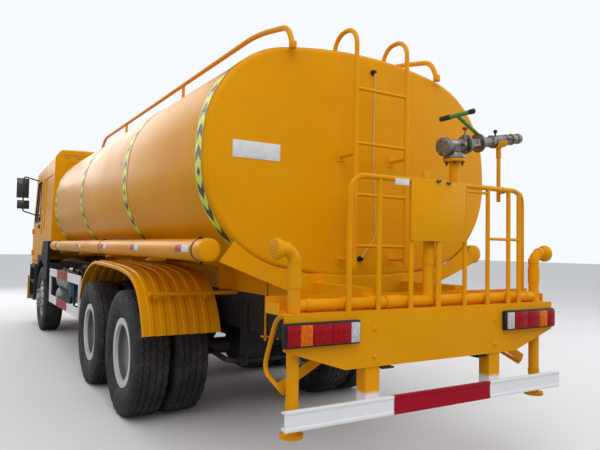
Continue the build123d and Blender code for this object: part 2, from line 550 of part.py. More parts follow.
for side, sign in SIDES:
    for low, high, collar_r in RISER_COLLARS:
        pipes += rod((sign * RISER_X, PIPE_Y, low), (sign * RISER_X, PIPE_Y, high), collar_r)
    for near, far in PIPE_COLLARS:
        pipes += rod((sign * near, PIPE_Y, PIPE_Z), (sign * far, PIPE_Y, PIPE_Z), PIPE_R + 3)
pipes += rod((STAND_X, PIPE_Y, PIPE_Z), (STAND_X, PIPE_Y, STAND_FOOT_TOP), STAND_FOOT_R)
pipes += rod((STAND_X, PIPE_Y, 1386), (STAND_X, PIPE_Y, 1418), STAND_FOOT_R + 4)
pipes += rod((STAND_X - 75, PIPE_Y, PIPE_Z), (STAND_X + 75, PIPE_Y, PIPE_Z), PIPE_R + 1)
pipes += rod((FEED_X, PIPE_Y - 75, FEED_Z), (FEED_X, PIPE_Y, FEED_Z), FEED_R + 4)
pipes += rod((FEED_X - 60, PIPE_Y, PIPE_Z), (FEED_X + 60, PIPE_Y, PIPE_Z), COUPLING_R)
pipes += rod((FEED_X, TANK_REAR_Y - 100, FEED_Z), (FEED_X, PIPE_Y, FEED_Z), FEED_R)
pipes += bent_tube([(STAND_X, PIPE_Y, PIPE_Z), (STAND_X, PIPE_Y, 1936), (CANNON_X, PIPE_Y, 1936), (CANNON_X, PIPE_Y, SWIVEL_Z0)],
                   STAND_R, 45)
pipes += rod((CANNON_X, PIPE_Y, 1985), (CANNON_X, PIPE_Y, SWIVEL_Z0 + 2), 31)
pipes += rod((CANNON_X, PIPE_Y, SWIVEL_Z0), (CANNON_X, PIPE_Y, SWIVEL_MID - PIN_PLAY), SWIVEL_R)
save("spray_pipes", pipes)

# Water cannon: a tee that turns on the swivel flange, and a barrel that tilts in its fork
CANNON_RISE = radians(10.6)
TEE_Z = 2135
TEE_R = 38
BLIND_R = 57
FORK_FLANGE_R = 62
BALL_OUT = 158
BALL_R = 34
FORK_IN = 44
FORK_OUT = 56
BARREL_R = 34
TIP_R = 30
SLEEVE_R = 38
SLEEVE_AT = 412
BARREL_END = 620


def along_cannon(distance, sideways=0, upwards=0):
    """A point at a distance from the tee's middle along the cannon's axis."""
    x = CANNON_X - distance * cos(CANNON_RISE) + upwards * sin(CANNON_RISE)
    z = TEE_Z + distance * sin(CANNON_RISE) + upwards * cos(CANNON_RISE)
    return (x, PIPE_Y + sideways, z)


tee = rod((CANNON_X, PIPE_Y, SWIVEL_MID), (CANNON_X, PIPE_Y, SWIVEL_TOP), SWIVEL_R)
tee += rod((CANNON_X, PIPE_Y, SWIVEL_TOP - 2), (CANNON_X, PIPE_Y, TEE_Z), 34)
tee += rod(along_cannon(-140), along_cannon(104), TEE_R)
tee += rod(along_cannon(-140), along_cannon(-116), BLIND_R)
tee += rod(along_cannon(92), along_cannon(108), FORK_FLANGE_R)
for cheek in (-1, 1):
    inner = Plane(origin=along_cannon(130, cheek * (FORK_IN + FORK_OUT) / 2), x_dir=(-cos(CANNON_RISE), 0, sin(CANNON_RISE)),
                  z_dir=(0, 1, 0))
    tee += inner * Box(92, 44, FORK_OUT - FORK_IN)
pin_room = rod(along_cannon(BALL_OUT, -80), along_cannon(BALL_OUT, 80), 10 + PIN_PLAY)
save("cannon_body", tee - pin_room)
barrel = Pos(*along_cannon(BALL_OUT)) * Rot(90, 0, 0) * Sphere(BALL_R)
barrel += rod(along_cannon(BALL_OUT, -FORK_OUT - 4), along_cannon(BALL_OUT, FORK_OUT + 4), 10)
barrel += rod(along_cannon(BALL_OUT), along_cannon(BALL_OUT + 80), 26)
barrel += rod(along_cannon(BALL_OUT + 52), along_cannon(BALL_OUT + 66), FORK_FLANGE_R)
barrel += cone(along_cannon(BALL_OUT + 60), along_cannon(BARREL_END), BARREL_R, TIP_R)
barrel += rod(along_cannon(SLEEVE_AT - 45), along_cannon(SLEEVE_AT + 45), SLEEVE_R)
barrel += rod(along_cannon(BARREL_END - 22), along_cannon(BARREL_END), TIP_R + 4)
save("cannon_barrel", barrel)

# Ladder on the rear head
LADDER_Y = BOARD_REAR_Y - 560
LADDER_HALF = 222
LADDER_R = 16
LADDER_TOP = 2975
LADDER_BEND = 120
ladder = bent_tube([(LADDER_HALF, LADDER_Y, 1340), (LADDER_HALF, LADDER_Y, LADDER_TOP), (LADDER_HALF, TANK_REAR_Y - 90, LADDER_TOP),
                    (LADDER_HALF, TANK_REAR_Y - 90, 2840)], LADDER_R, LADDER_BEND)
ladder += mirrored(ladder)
for rung_z in (1490, 1834, 2182, 2552):
    ladder += rod((-LADDER_HALF, LADDER_Y, rung_z), (LADDER_HALF, LADDER_Y, rung_z), 12)
for side, sign in SIDES:
    for stay_z in (1400, 2110):
        ladder += rod((sign * LADDER_HALF, LADDER_Y, stay_z), (sign * LADDER_HALF, TANK_REAR_Y, stay_z), 12)
        ladder += box(sign * (LADDER_HALF - 25), sign * (LADDER_HALF + 25), TANK_REAR_Y, TANK_REAR_Y + 6, stay_z - 35, stay_z + 35)
save("ladder", ladder - tank_room)

# Top rails
RAIL_X = 645
RAIL_R = 19
RAIL_Z = 3021
top_rail = bent_tube([(RAIL_X, TANK_REAR_Y - 60, 2790), (RAIL_X, TANK_REAR_Y - 330, RAIL_Z), (RAIL_X, TANK_FRONT_Y + 400, RAIL_Z),
                      (RAIL_X, TANK_FRONT_Y + 120, 2790)], RAIL_R, 90)
for stay_y in (TANK_REAR_Y - 2050, TANK_REAR_Y - 4150):
    top_rail += rod((RAIL_X, stay_y, 2780), (RAIL_X, stay_y, RAIL_Z), 15)
    top_rail += rod((RAIL_X, stay_y, 2780), (RAIL_X, stay_y, 2822), 24)
save("top_rails", both(top_rail - tank_room))

# Filler on the tank's top, with its hinged lid
MANHOLE_Y = (TANK_FRONT_Y + TANK_REAR_Y) / 2
COLLAR_R = 270
COLLAR_TOP = 2980
LID_R = 285
LID_T = 15
LID_PIN_Y = MANHOLE_Y + 330
LID_PIN_Z = COLLAR_TOP + 8
LID_PIN_R = 8
LID_LUG_HALF = 40
collar = rod((0, MANHOLE_Y, 2800), (0, MANHOLE_Y, COLLAR_TOP), COLLAR_R)
for side, sign in SIDES:
    collar += box(sign * 46, sign * 58, MANHOLE_Y + 240, LID_PIN_Y + 16, COLLAR_TOP - 50, LID_PIN_Z + 16)
collar -= rod((0, MANHOLE_Y, 2700), (0, MANHOLE_Y, 3100), COLLAR_R - 30)
collar += rod((-58, LID_PIN_Y, LID_PIN_Z), (58, LID_PIN_Y, LID_PIN_Z), LID_PIN_R)
save("filler_collar", collar - tank_room - box(-400, 400, MANHOLE_Y - 300, MANHOLE_Y + 288, COLLAR_TOP, 3100))
lid = rod((0, MANHOLE_Y, COLLAR_TOP + 1), (0, MANHOLE_Y, COLLAR_TOP + 1 + LID_T), LID_R)
lid += box(-LID_LUG_HALF, LID_LUG_HALF, MANHOLE_Y + 250, LID_PIN_Y, COLLAR_TOP + 1, COLLAR_TOP + 1 + LID_T)
lid += rod((-LID_LUG_HALF, LID_PIN_Y, LID_PIN_Z), (LID_LUG_HALF, LID_PIN_Y, LID_PIN_Z), LID_PIN_R + 7)
save("filler_lid", lid - rod((-60, LID_PIN_Y, LID_PIN_Z), (60, LID_PIN_Y, LID_PIN_Z), LID_PIN_R + PIN_PLAY))

# Rear mudguards: one long sheet over both rear wheels of a side
GUARD_X0 = 600
GUARD_X1 = 1240
GUARD_T = 6
GUARD_RIB = 6
GUARD_RIB_XS = (740, 830, 920, 1010, 1100, 1190)
GUARD_LINE = [(-470, 855), (-335, 1009), (-62, 1222), (158, 1282), (781, 1267), (1362, 1244), (1686, 1195), (1840, 1115),
              (1974, 973), (2090, 766)]
guard_line = [(AXLE_2_Y + y, z) for y, z in GUARD_LINE]
lower_line = [(y, z - GUARD_T) for y, z in reversed(guard_line)]
mudguard = side_prism(guard_line + lower_line, GUARD_X0, GUARD_X1)
rib_line = [(y, z + GUARD_RIB) for y, z in guard_line]
rib_low_line = [(y, z - GUARD_RIB) for y, z in lower_line]
for rib_x in GUARD_RIB_XS:
    mudguard += side_prism(rib_line + rib_low_line, rib_x - 4, rib_x + 4)
STAY_Y = AXLE_2_Y + 2044
STAY_Z = 1087
stay = rod((GUARD_X1 - 40, STAY_Y, STAY_Z), (FRAME_HALF, STAY_Y, STAY_Z), 20)
for gusset_x in (GUARD_X0 + 40, GUARD_X1 - 60):
    stay += side_prism([(AXLE_2_Y + 1840, 1115), (AXLE_2_Y + 1974, 973), (STAY_Y, STAY_Z - 10), (STAY_Y, STAY_Z + 10)],
                       gusset_x, gusset_x + 8)
save("rear_mudguards", both(mudguard + stay))

# Side guards, and the tanks behind them
SIDE_X = 1199
SIDE_Y0 = AXLE_1_Y + 1190
SIDE_Y1 = AXLE_2_Y - 759
SIDE_Z0 = 590
SIDE_Z1 = 1095
SIDE_BAR = 110
SIDE_POST = 50
SIDE_T = 25
FLUTE = 16
side_guard = box(SIDE_X - SIDE_T, SIDE_X, SIDE_Y0, SIDE_Y1, SIDE_Z0, SIDE_Z1)
side_guard -= box(SIDE_X - SIDE_T - 5, SIDE_X + 5, SIDE_Y0 + SIDE_POST, SIDE_Y1 - SIDE_POST, SIDE_Z0 + SIDE_BAR, SIDE_Z1 - SIDE_BAR)
for bar_z in (SIDE_Z0 + SIDE_BAR / 2, SIDE_Z1 - SIDE_BAR / 2):
    for flute_z in (bar_z - FLUTE, bar_z + FLUTE):
        side_guard -= box(SIDE_X - 4, SIDE_X + 5, SIDE_Y0 + SIDE_POST, SIDE_Y1 - SIDE_POST, flute_z - 5, flute_z + 5)
for stay_y in (SIDE_Y0 + 100, SIDE_Y1 - 500):
    side_guard += box(FRAME_HALF, SIDE_X - 10, stay_y - 25, stay_y + 25, SIDE_Z1 - 65, SIDE_Z1 - 20)
    side_guard += box(SIDE_X - 60, SIDE_X - 20, stay_y - 25, stay_y + 25, SIDE_Z0 + 20, SIDE_Z1 - 20)
save("side_guards", both(side_guard))
air_tanks = []
for tank_y, tank_z in ((SIDE_Y0 + 350, 700), (SIDE_Y0 + 350, 960), (SIDE_Y0 + 650, 960), (SIDE_Y0 + 950, 960)):
    air_tanks += rod((FRAME_HALF, tank_y, tank_z), (1100, tank_y, tank_z), 125).solids()
save("air_tanks", Compound(children=air_tanks))
fuel = box(-1100, -FRAME_HALF, SIDE_Y0 + 150, SIDE_Y0 + 1400, 560, 1020)
save("fuel_tank", fillet(fuel.edges().filter_by(Axis.Y), 90))

# Splash panels, steps, bumper and headlamps
SPLASH_TOP_Y = CAB_REAR_Y - 35
SPLASH_LOW_Y = CAB_REAR_Y + 137
splash = side_prism([(SPLASH_TOP_Y, 1170), (SPLASH_TOP_Y + 12, 1170), (SPLASH_LOW_Y + 12, 460), (SPLASH_LOW_Y, 460)], 870, 1165)
splash += box(FRAME_HALF, 890, SPLASH_TOP_Y + 34, SPLASH_TOP_Y + 54, 1000, 1060)
save("splash_panels", both(splash))
STEP_REAR_Y = AXLE_1_Y - 680
step = box(900, 1200, FRONT_Y + 130, STEP_REAR_Y, 450, 1080)
for low, high in ((520, 760), (800, 1030)):
    step -= box(960, 1210, FRONT_Y + 200, STEP_REAR_Y - 30, low, high)
save("cab_steps", both(step + box(FRAME_HALF, 920, STEP_REAR_Y - 100, STEP_REAR_Y - 40, 820, 900)))
BUMPER_TOP = 860
BUMPER_DEPTH = 260
TOW_Y = FRONT_Y + 45
TOW_R = 15
bumper = box(-1230, 1230, FRONT_Y, FRONT_Y + BUMPER_DEPTH, 420, BUMPER_TOP)
bumper = fillet(bumper.edges().filter_by(Axis.Z).group_by(Axis.Y)[0], 90)
for side, sign in SIDES:
    bumper -= box(sign * 760, sign * 1120, FRONT_Y - 10, FRONT_Y + 90, 560, 760)
    bumper -= box(sign * 890, sign * 1300, FRONT_Y + 125, FRONT_Y + 300, 400, 900)
JAW_HALF = 60
for low, high in ((410, 575), (600, 700), (725, BUMPER_TOP + 10)):
    bumper -= box(-JAW_HALF, JAW_HALF, FRONT_Y - 10, FRONT_Y + 90, low, high)
bumper -= rod((0, TOW_Y, 570), (0, TOW_Y, 730), TOW_R)
save("front_bumper", bumper)
save("headlamps", both(box(760, 1120, FRONT_Y + 20, FRONT_Y + 90, 560, 760)))

# Cab: a hollow shell, cut where its doors and windows are
CAB_FRONT_Y = FRONT_Y + 35
CAB_LOW = 1000
WELL_FRONT_Y = AXLE_1_Y - 669.5
WELL_TOP_Y = AXLE_1_Y - 59.5
WELL_REAR_Y = AXLE_1_Y + 140.5
DOOR_FRONT_Y = FRONT_Y + 140
DOOR_REAR_Y = DOOR_FRONT_Y + 890
cab_side = [(CAB_FRONT_Y + 10, CAB_LOW), (CAB_FRONT_Y, 1300), (CAB_FRONT_Y + 15, CAB_WAIST), (CAB_FRONT_Y + 215, 2720),
            (CAB_FRONT_Y + 385, 2830), (CAB_FRONT_Y + 600, 2885), (CAB_REAR_Y - 60, CAB_ROOF), (CAB_REAR_Y, CAB_ROOF - 30),
            (CAB_REAR_Y, CAB_REAR_BOTTOM), (WELL_REAR_Y, CAB_REAR_BOTTOM), (WELL_TOP_Y, CAB_FLOOR_BOTTOM),
            (WELL_FRONT_Y, CAB_FLOOR_BOTTOM), (WELL_FRONT_Y, CAB_SILL_BOTTOM), (CAB_FRONT_Y + 60, CAB_SILL_BOTTOM),
            (CAB_FRONT_Y + 60, CAB_LOW)]
top_half = CAB_HALF - CAB_LEAN
roof_drop = ROOF_SLOPE * (CAB_LENGTH + TUNNEL_LEAD)
roof_low = CAB_ROOF - roof_drop
cab_front = [(-CAB_HALF, 900), (-CAB_HALF, 1600), (-top_half, roof_low - 145), (-top_half + 40, roof_low - 85),
             (-top_half + 90, roof_low - 35), (-top_half + 370, roof_low - 7), (0, roof_low),
             (top_half - 370, roof_low - 7), (top_half - 90, roof_low - 35), (top_half - 40, roof_low - 85),
             (top_half, roof_low - 145), (CAB_HALF, 1600), (CAB_HALF, 900)]


def cab_tunnel(inset):
    """The cab's front view, or its inner one at a wall's depth, carried along the cab and rising to the rear."""
    front_view = Polygon(*cab_front, align=None)
    if inset:
        front_view = offset(front_view, -inset, kind=Kind.INTERSECTION)
    return extrude(Plane.XZ.offset(-FRONT_Y + TUNNEL_LEAD) * front_view, CAB_LENGTH + 2 * TUNNEL_LEAD, dir=(0, 1, ROOF_SLOPE))


def cab_form(inset):
    """The cab's outer form, or its inner one at a wall's depth."""
    side_view = Polygon(*cab_side, align=None)
    if inset:
        side_view = offset(side_view, -inset, kind=Kind.INTERSECTION)
    return extrude(Plane.YZ.offset(-1300) * side_view, 2600, dir=(1, 0, 0)) & cab_tunnel(inset)


def side_cut(outline, sign):
    """A side-view shape carried right through one side wall."""
    return extrude(Plane.YZ.offset(sign * 1000) * outline, 300, dir=(sign, 0, 0))


cab_outer = cab_form(0)
PRESS_DEPTH = 12
REAR_PRESS_HALF = 1010
REAR_PRESS_Z0 = CAB_ROOF - 180
REAR_PRESS_Z1 = CAB_ROOF - 105
ARCH_PRESS_HALF = 985
ARCH_PRESS_Z0 = 1640
ARCH_PRESS_Z1 = CAB_ROOF - 225
rear_press = end_prism([(-REAR_PRESS_HALF, REAR_PRESS_Z0), (-REAR_PRESS_HALF, REAR_PRESS_Z1), (REAR_PRESS_HALF, REAR_PRESS_Z1),
                        (REAR_PRESS_HALF, REAR_PRESS_Z0)], CAB_REAR_Y - PRESS_DEPTH, CAB_REAR_Y + 10)
rear_press = fillet(rear_press.edges().filter_by(Axis.Y), 30)
arched_press = end_prism([(-ARCH_PRESS_HALF, ARCH_PRESS_Z0), (-ARCH_PRESS_HALF, ARCH_PRESS_Z1), (ARCH_PRESS_HALF, ARCH_PRESS_Z1),
                          (ARCH_PRESS_HALF, ARCH_PRESS_Z0)], CAB_REAR_Y - PRESS_DEPTH, CAB_REAR_Y + 10)
arched_press = fillet(arched_press.edges().filter_by(Axis.Y), 110)
cab_skin = cab_outer - cab_form(CAB_WALL) - rear_press - arched_press
SCREEN_OUTLINE = [(-1040, 1850), (-1040, 2560), (-980, 2620), (980, 2620), (1040, 2560), (1040, 1850)]
screen_hole = end_prism(SCREEN_OUTLINE, FRONT_Y - 50, FRONT_Y + 420)
door_outline = Polygon((DOOR_FRONT_Y, 1160), (DOOR_REAR_Y, 1160), (DOOR_REAR_Y, 2690), (DOOR_FRONT_Y + 260, 2690),
                       (DOOR_FRONT_Y, 1810), align=None)
window_outline = Polygon((DOOR_FRONT_Y + 110, 1880), (DOOR_REAR_Y - 90, 1880), (DOOR_REAR_Y - 90, 2600),
                         (DOOR_FRONT_Y + 305, 2600), align=None)
door_gap = offset(door_outline, GAP, kind=Kind.INTERSECTION)
cab_shell = cab_skin - screen_hole
pane_skin = cab_form(20) - cab_form(26)
press_core = cab_form(PRESS_DEPTH)
door_wall = cab_outer - cab_tunnel(CAB_WALL)
door_seat = cab_tunnel(CAB_WALL + 6)
HINGE_X = CAB_HALF + 20
HINGE_Y = DOOR_FRONT_Y - 3
HINGE_R = 9
HINGE_HALF = 25
HINGE_ZS = (1300, 1700)
MIRROR_Y = FRONT_Y + 381
SIDE_PRESSES = ((120, 330, 2060, 2620), (120, 330, 1640, 1980), (420, 1180, 1700, 2600))
HANDLE_Z = 1782
for side, sign in SIDES:
    cab_shell -= side_cut(door_gap, sign) - door_seat
    for low, high, tall_low, tall_high in SIDE_PRESSES:
        press = box(sign * (CAB_HALF - 40), sign * (CAB_HALF + 20), DOOR_REAR_Y + low, DOOR_REAR_Y + high, tall_low, tall_high)
        cab_shell -= press - press_core
    window = side_cut(window_outline, sign)
    door = (door_wall & side_cut(door_outline, sign)) - window
    handle_y = DOOR_REAR_Y - 100
    door -= box(sign * (CAB_HALF - 32), sign * (CAB_HALF + 20), handle_y - 60, handle_y + 60, HANDLE_Z - 32, HANDLE_Z + 32)
    door += box(sign * (CAB_HALF - 34), sign * (CAB_HALF - 8), handle_y - 55, handle_y + 55, HANDLE_Z + 4, HANDLE_Z + 26)
    for hinge_z in HINGE_ZS:
        low, high = hinge_z - HINGE_HALF, hinge_z + HINGE_HALF
        door += box(sign * (CAB_HALF - 10), sign * HINGE_X, HINGE_Y, HINGE_Y + 50, low, high)
        door += rod((sign * HINGE_X, HINGE_Y, low), (sign * HINGE_X, HINGE_Y, high), HINGE_R)
        for leaf_low, leaf_high in ((low - 22, low - 1), (high + 1, high + 22)):
            cab_shell += box(sign * (CAB_HALF - 10), sign * HINGE_X, HINGE_Y - 50, HINGE_Y - 6, leaf_low, leaf_high)
            cab_shell += rod((sign * HINGE_X, HINGE_Y, leaf_low), (sign * HINGE_X, HINGE_Y, leaf_high), HINGE_R)
    save(f"door_{side}", door)
    save(f"door_glass_{side}", pane_skin & window)
    mirror_piece = box(sign * 1298, sign * 1503, MIRROR_Y - 30, MIRROR_Y + 30, 2324, 2686)
    mirror_piece += box(sign * 1286, sign * 1489, MIRROR_Y - 30, MIRROR_Y + 30, 2119, 2276)
    mirror_piece += bent_tube([(sign * 1100, MIRROR_Y + 60, 2640), (sign * 1390, MIRROR_Y, 2730), (sign * 1390, MIRROR_Y, 2080),
                               (sign * 1110, MIRROR_Y - 105, 2000)], 12, 40)
    save(f"mirror_{side}", mirror_piece - cab_outer)
LUG_X0 = 330
LUG_X1 = 380
LUG_R = 35
for side, sign in SIDES:
    lug = box(sign * LUG_X0, sign * LUG_X1, TILT_Y - LUG_R, TILT_Y + LUG_R, TILT_Z, CAB_SILL_BOTTOM + 5)
    lug += rod((sign * LUG_X0, TILT_Y, TILT_Z), (sign * LUG_X1, TILT_Y, TILT_Z), LUG_R)
    cab_shell += lug - rod((sign * 300, TILT_Y, TILT_Z), (sign * 400, TILT_Y, TILT_Z), TILT_PIN_R + PIN_PLAY)
save("cab_shell", cab_shell)
save("windscreen", (cab_form(12) - cab_form(20)) & screen_hole & box(-1300, 1300, FRONT_Y - 50, FRONT_Y + 300, 1800, 2640))

# Inside the cab
FLOOR_TOP = CAB_FLOOR_BOTTOM + CAB_WALL
SEAT_FRONT_Y = DOOR_FRONT_Y + 780
STEERING_X = 560
STEERING_Y = SEAT_FRONT_Y - 260
DASH_FRONT_Y = SEAT_FRONT_Y - 730
DASH_REAR_Y = SEAT_FRONT_Y - 430
STEERING_Z = 1850
seats = []
for seat_x in (STEERING_X, -STEERING_X):
    seat = box(seat_x - 250, seat_x + 250, SEAT_FRONT_Y, SEAT_FRONT_Y + 500, FLOOR_TOP + 250, FLOOR_TOP + 400)
    seat += box(seat_x - 180, seat_x + 180, SEAT_FRONT_Y + 60, SEAT_FRONT_Y + 480, FLOOR_TOP, FLOOR_TOP + 250)
    seat += box(seat_x - 250, seat_x + 250, SEAT_FRONT_Y + 400, SEAT_FRONT_Y + 520, FLOOR_TOP + 400, FLOOR_TOP + 1100)
    seats += seat.solids()
save("seats", Compound(children=seats))
dashboard = side_prism([(DASH_FRONT_Y, 1400), (DASH_FRONT_Y, 1760), (DASH_FRONT_Y + 140, 1790), (DASH_REAR_Y, 1690),
                        (DASH_REAR_Y, 1400)], -1100, 1100)
wheel_plane = Plane(origin=(STEERING_X, STEERING_Y, STEERING_Z), z_dir=(0, 1, 1))
dashboard += rod((STEERING_X, DASH_REAR_Y - 40, STEERING_Z - 210), (STEERING_X, STEERING_Y, STEERING_Z), 30)
dashboard += wheel_plane * Torus(210, 16)
for turn in (0, 120, 240):
    dashboard += wheel_plane * (Rot(0, 0, turn) * Pos(105, 0, 0) * Box(210, 30, 12))
save("dashboard", dashboard & cab_form(CAB_WALL))

# Grille and wheel arches
grille = box(-900, 900, FRONT_Y + 8, FRONT_Y + 60, 1120, 1640)
for bar_z in range(1150, 1600, 80):
    grille -= box(-860, 860, FRONT_Y, FRONT_Y + 25, bar_z, bar_z + 50)
save("front_grille", grille - cab_outer)
ARCH_X0 = CAB_HALF - 20
ARCH_X1 = CAB_HALF + 20
ARCH_LOW = 900
ARCH_FRONT_Y = DOOR_REAR_Y + 20
arch = side_prism([(ARCH_FRONT_Y, ARCH_LOW), (ARCH_FRONT_Y, CAB_FLOOR_BOTTOM - 8), (WELL_TOP_Y + 10, CAB_FLOOR_BOTTOM - 8),
                   (WELL_REAR_Y + 20, CAB_REAR_BOTTOM - 5), (CAB_REAR_Y - 150, CAB_REAR_BOTTOM - 5), (CAB_REAR_Y - 200, ARCH_LOW)],
                  ARCH_X0, ARCH_X1)
arch_ring = rod((880, AXLE_1_Y, WHEEL_Z), (ARCH_X1, AXLE_1_Y, WHEEL_Z), WHEEL_SWEEP_R + 12)
arch += arch_ring & box(800, ARCH_X1, AXLE_1_Y - WHEEL_SWEEP_R - 9.5, AXLE_1_Y + WHEEL_SWEEP_R, ARCH_LOW, CAB_FLOOR_BOTTOM - 8)
arch -= rod((0, AXLE_1_Y, WHEEL_Z), (1300, AXLE_1_Y, WHEEL_Z), WHEEL_SWEEP_R)
arch = fillet(arch.edges().filter_by(Axis.X).group_by(Axis.Z)[-1], 60)
save("wheel_arches", both(arch - cab_outer))
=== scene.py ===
# The looks of a six-by-four water tanker truck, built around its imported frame, in metres.
# X points to the truck's left, Y to its rear, Z up.
import bpy
from math import atan2, cos, pi, radians, sin, sqrt
from mathutils import Matrix, Vector


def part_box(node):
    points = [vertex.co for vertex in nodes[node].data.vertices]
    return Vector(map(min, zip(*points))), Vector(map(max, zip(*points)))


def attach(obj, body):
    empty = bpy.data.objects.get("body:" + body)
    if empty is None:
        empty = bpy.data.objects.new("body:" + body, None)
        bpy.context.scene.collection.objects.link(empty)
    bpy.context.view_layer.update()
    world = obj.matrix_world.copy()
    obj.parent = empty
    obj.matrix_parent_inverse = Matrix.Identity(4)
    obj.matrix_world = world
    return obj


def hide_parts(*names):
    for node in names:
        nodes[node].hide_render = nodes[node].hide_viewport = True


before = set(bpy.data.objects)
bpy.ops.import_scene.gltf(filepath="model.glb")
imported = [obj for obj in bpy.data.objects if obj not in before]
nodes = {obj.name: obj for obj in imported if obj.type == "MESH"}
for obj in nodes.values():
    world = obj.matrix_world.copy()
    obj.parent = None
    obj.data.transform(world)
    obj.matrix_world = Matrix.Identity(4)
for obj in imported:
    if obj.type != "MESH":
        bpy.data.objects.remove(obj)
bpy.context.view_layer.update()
SIDES = (("left", 1), ("right", -1))
X, Y, Z = Vector((1, 0, 0)), Vector((0, 1, 0)), Vector((0, 0, 1))

# Driving places, worked out from the frame, and the wheels' height
board_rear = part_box("rear_platform")[1].y
tank_low, tank_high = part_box("water_tank")
tank_front, tank_rear = tank_low.y, tank_high.y
WHEEL_Z = 0.54
AXLE_YS = {axle: sum(v.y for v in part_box(f"{axle}_rim_left" if axle == "front" else f"{axle}_rims_left")) / 2
           for axle in ("front", "middle", "rear")}

# Camera at the photograph's viewing angle
PHOTO_WIDTH = 600
FOCAL_PX = 574.03
CAMERA_AT = Vector((2.5103, 7.3544, 1.4635))
CAMERA_YAW, CAMERA_PITCH, CAMERA_ROLL = radians(31.232), radians(2.377), radians(1.052)


def link(piece):
    bpy.context.scene.collection.objects.link(piece)


def add_camera():
    forward = Vector((-sin(CAMERA_YAW) * cos(CAMERA_PITCH), -cos(CAMERA_YAW) * cos(CAMERA_PITCH), sin(CAMERA_PITCH)))
    level = forward.cross(Z).normalized()
    upright = level.cross(forward)
    right = level * cos(CAMERA_ROLL) + upright * sin(CAMERA_ROLL)
    up = upright * cos(CAMERA_ROLL) - level * sin(CAMERA_ROLL)
    camera = bpy.data.objects.new("photo_camera", bpy.data.cameras.new("photo_camera"))
    link(camera)
    camera.data.sensor_width = 36
    camera.data.lens = camera.data.sensor_width * FOCAL_PX / PHOTO_WIDTH
    camera.data.clip_end = 200
    camera.matrix_world = Matrix.Translation(CAMERA_AT) @ Matrix((right, up, -forward)).transposed().to_4x4()
    bpy.context.scene.camera = camera


def grow(tree, kind, inputs=None, **settings):
    """A new node, its inputs linked to sockets or set to values."""
    node = tree.nodes.new(kind)
    for key, value in settings.items():
        setattr(node, key, value)
    for key, value in (inputs or {}).items():
        if isinstance(value, bpy.types.NodeSocket):
            tree.links.new(value, node.inputs[key])
        else:
            node.inputs[key].default_value = value
    return node


# Finishes: each is a small tree of procedural nodes on object coordinates
FINISH = {}


class Recipe:
    """A material being mixed, with short ways to add its nodes."""

    def __init__(self, name):
        FINISH[name] = self.material = bpy.data.materials.new(name)
        self.material.use_nodes = True
        self.tree = self.material.node_tree
        self.shader = self.tree.nodes["Principled BSDF"]
        self.place = self.add("ShaderNodeTexCoord").outputs["Object"]

    def add(self, kind, inputs=None, **settings):
        return grow(self.tree, kind, inputs, **settings)

    def noise(self, scale, detail=4, rough=0.55):
        inputs = {"Vector": self.place, "Scale": scale, "Detail": detail, "Roughness": rough}
        return self.add("ShaderNodeTexNoise", inputs).outputs["Fac"]

    def ramp(self, value, low, high, out_low=0.0, out_high=1.0):
        inputs = {"Value": value, "From Min": low, "From Max": high, "To Min": out_low, "To Max": out_high}
        return self.add("ShaderNodeMapRange", inputs, interpolation_type="SMOOTHSTEP").outputs["Result"]

    def math(self, operation, a, b=0.0):
        return self.add("ShaderNodeMath", {0: a, 1: b}, operation=operation).outputs[0]

    def mix(self, factor, a, b):
        a, b = ((*value, 1) if isinstance(value, tuple) else value for value in (a, b))
        return self.add("ShaderNodeMix", {"Factor": factor, 6: a, 7: b}, data_type="RGBA").outputs[2]

    def axis(self, name):
        return self.add("ShaderNodeSeparateXYZ", {0: self.place}).outputs[name]

    def within(self, name, low, high, soft=0.002):
        """1 between two planes along an axis, 0 outside them."""
        value = self.axis(name)
        rise = self.ramp(value, low - soft, low + soft)
        fall = self.ramp(value, high - soft, high + soft, 1.0, 0.0)
        return self.math("MULTIPLY", rise, fall)

    def close(self, colour, roughness, metallic=0.0, bump=None, **sockets):
        self.tree.links.new(colour, self.shader.inputs["Base Color"])
        self.tree.links.new(roughness, self.shader.inputs["Roughness"])
        self.shader.inputs["Metallic"].default_value = metallic
        for key, value in sockets.items():
            self.shader.inputs[key.replace("_", " ")].default_value = value
        if bump:
            height, strength, distance = bump
            node = self.add("ShaderNodeBump", {"Height": height, "Strength": strength, "Distance": distance})
            self.tree.links.new(node.outputs["Normal"], self.shader.inputs["Normal"])


DUST = (0.33, 0.27, 0.19)
ROAD_DIRT = (0.16, 0.135, 0.11)
YELLOW, YELLOW_DEEP = (0.82, 0.345, 0.0), (0.76, 0.312, 0.0)
WHITE, WHITE_DULL = (0.86, 0.87, 0.88), (0.8, 0.8, 0.79)
RED, GUARD_RED = (0.38, 0.006, 0.022), (0.4, 0.06, 0.06)


def paint(name, rough, dust, colour=YELLOW, shade=YELLOW_DEEP, bands=()):
    """Sprayed paint: soft patches, dust that thickens downwards, and painted bands."""
    mix = Recipe(name)
    tone = mix.mix(mix.ramp(mix.noise(1.3), 0.35, 0.7), colour, shade)
    for axis, low, high, soft, band_colour in bands:
        tone = mix.mix(mix.within(axis, low, high, soft), tone, band_colour)
    low_down = mix.ramp(mix.axis("Z"), 0.25, 1.7, 1.0, 0.12)
    film = mix.math("MULTIPLY", mix.math("MULTIPLY", mix.ramp(mix.noise(2.2, 6), 0.42, 0.85), low_down), dust)
    tone = mix.mix(film, tone, DUST)
    patches = mix.ramp(mix.noise(1.8, 2), 0.3, 0.75, rough, rough + 0.06)
    mix.close(tone, mix.math("ADD", patches, mix.math("MULTIPLY", film, 0.4)), Specular_IOR_Level=0.09)


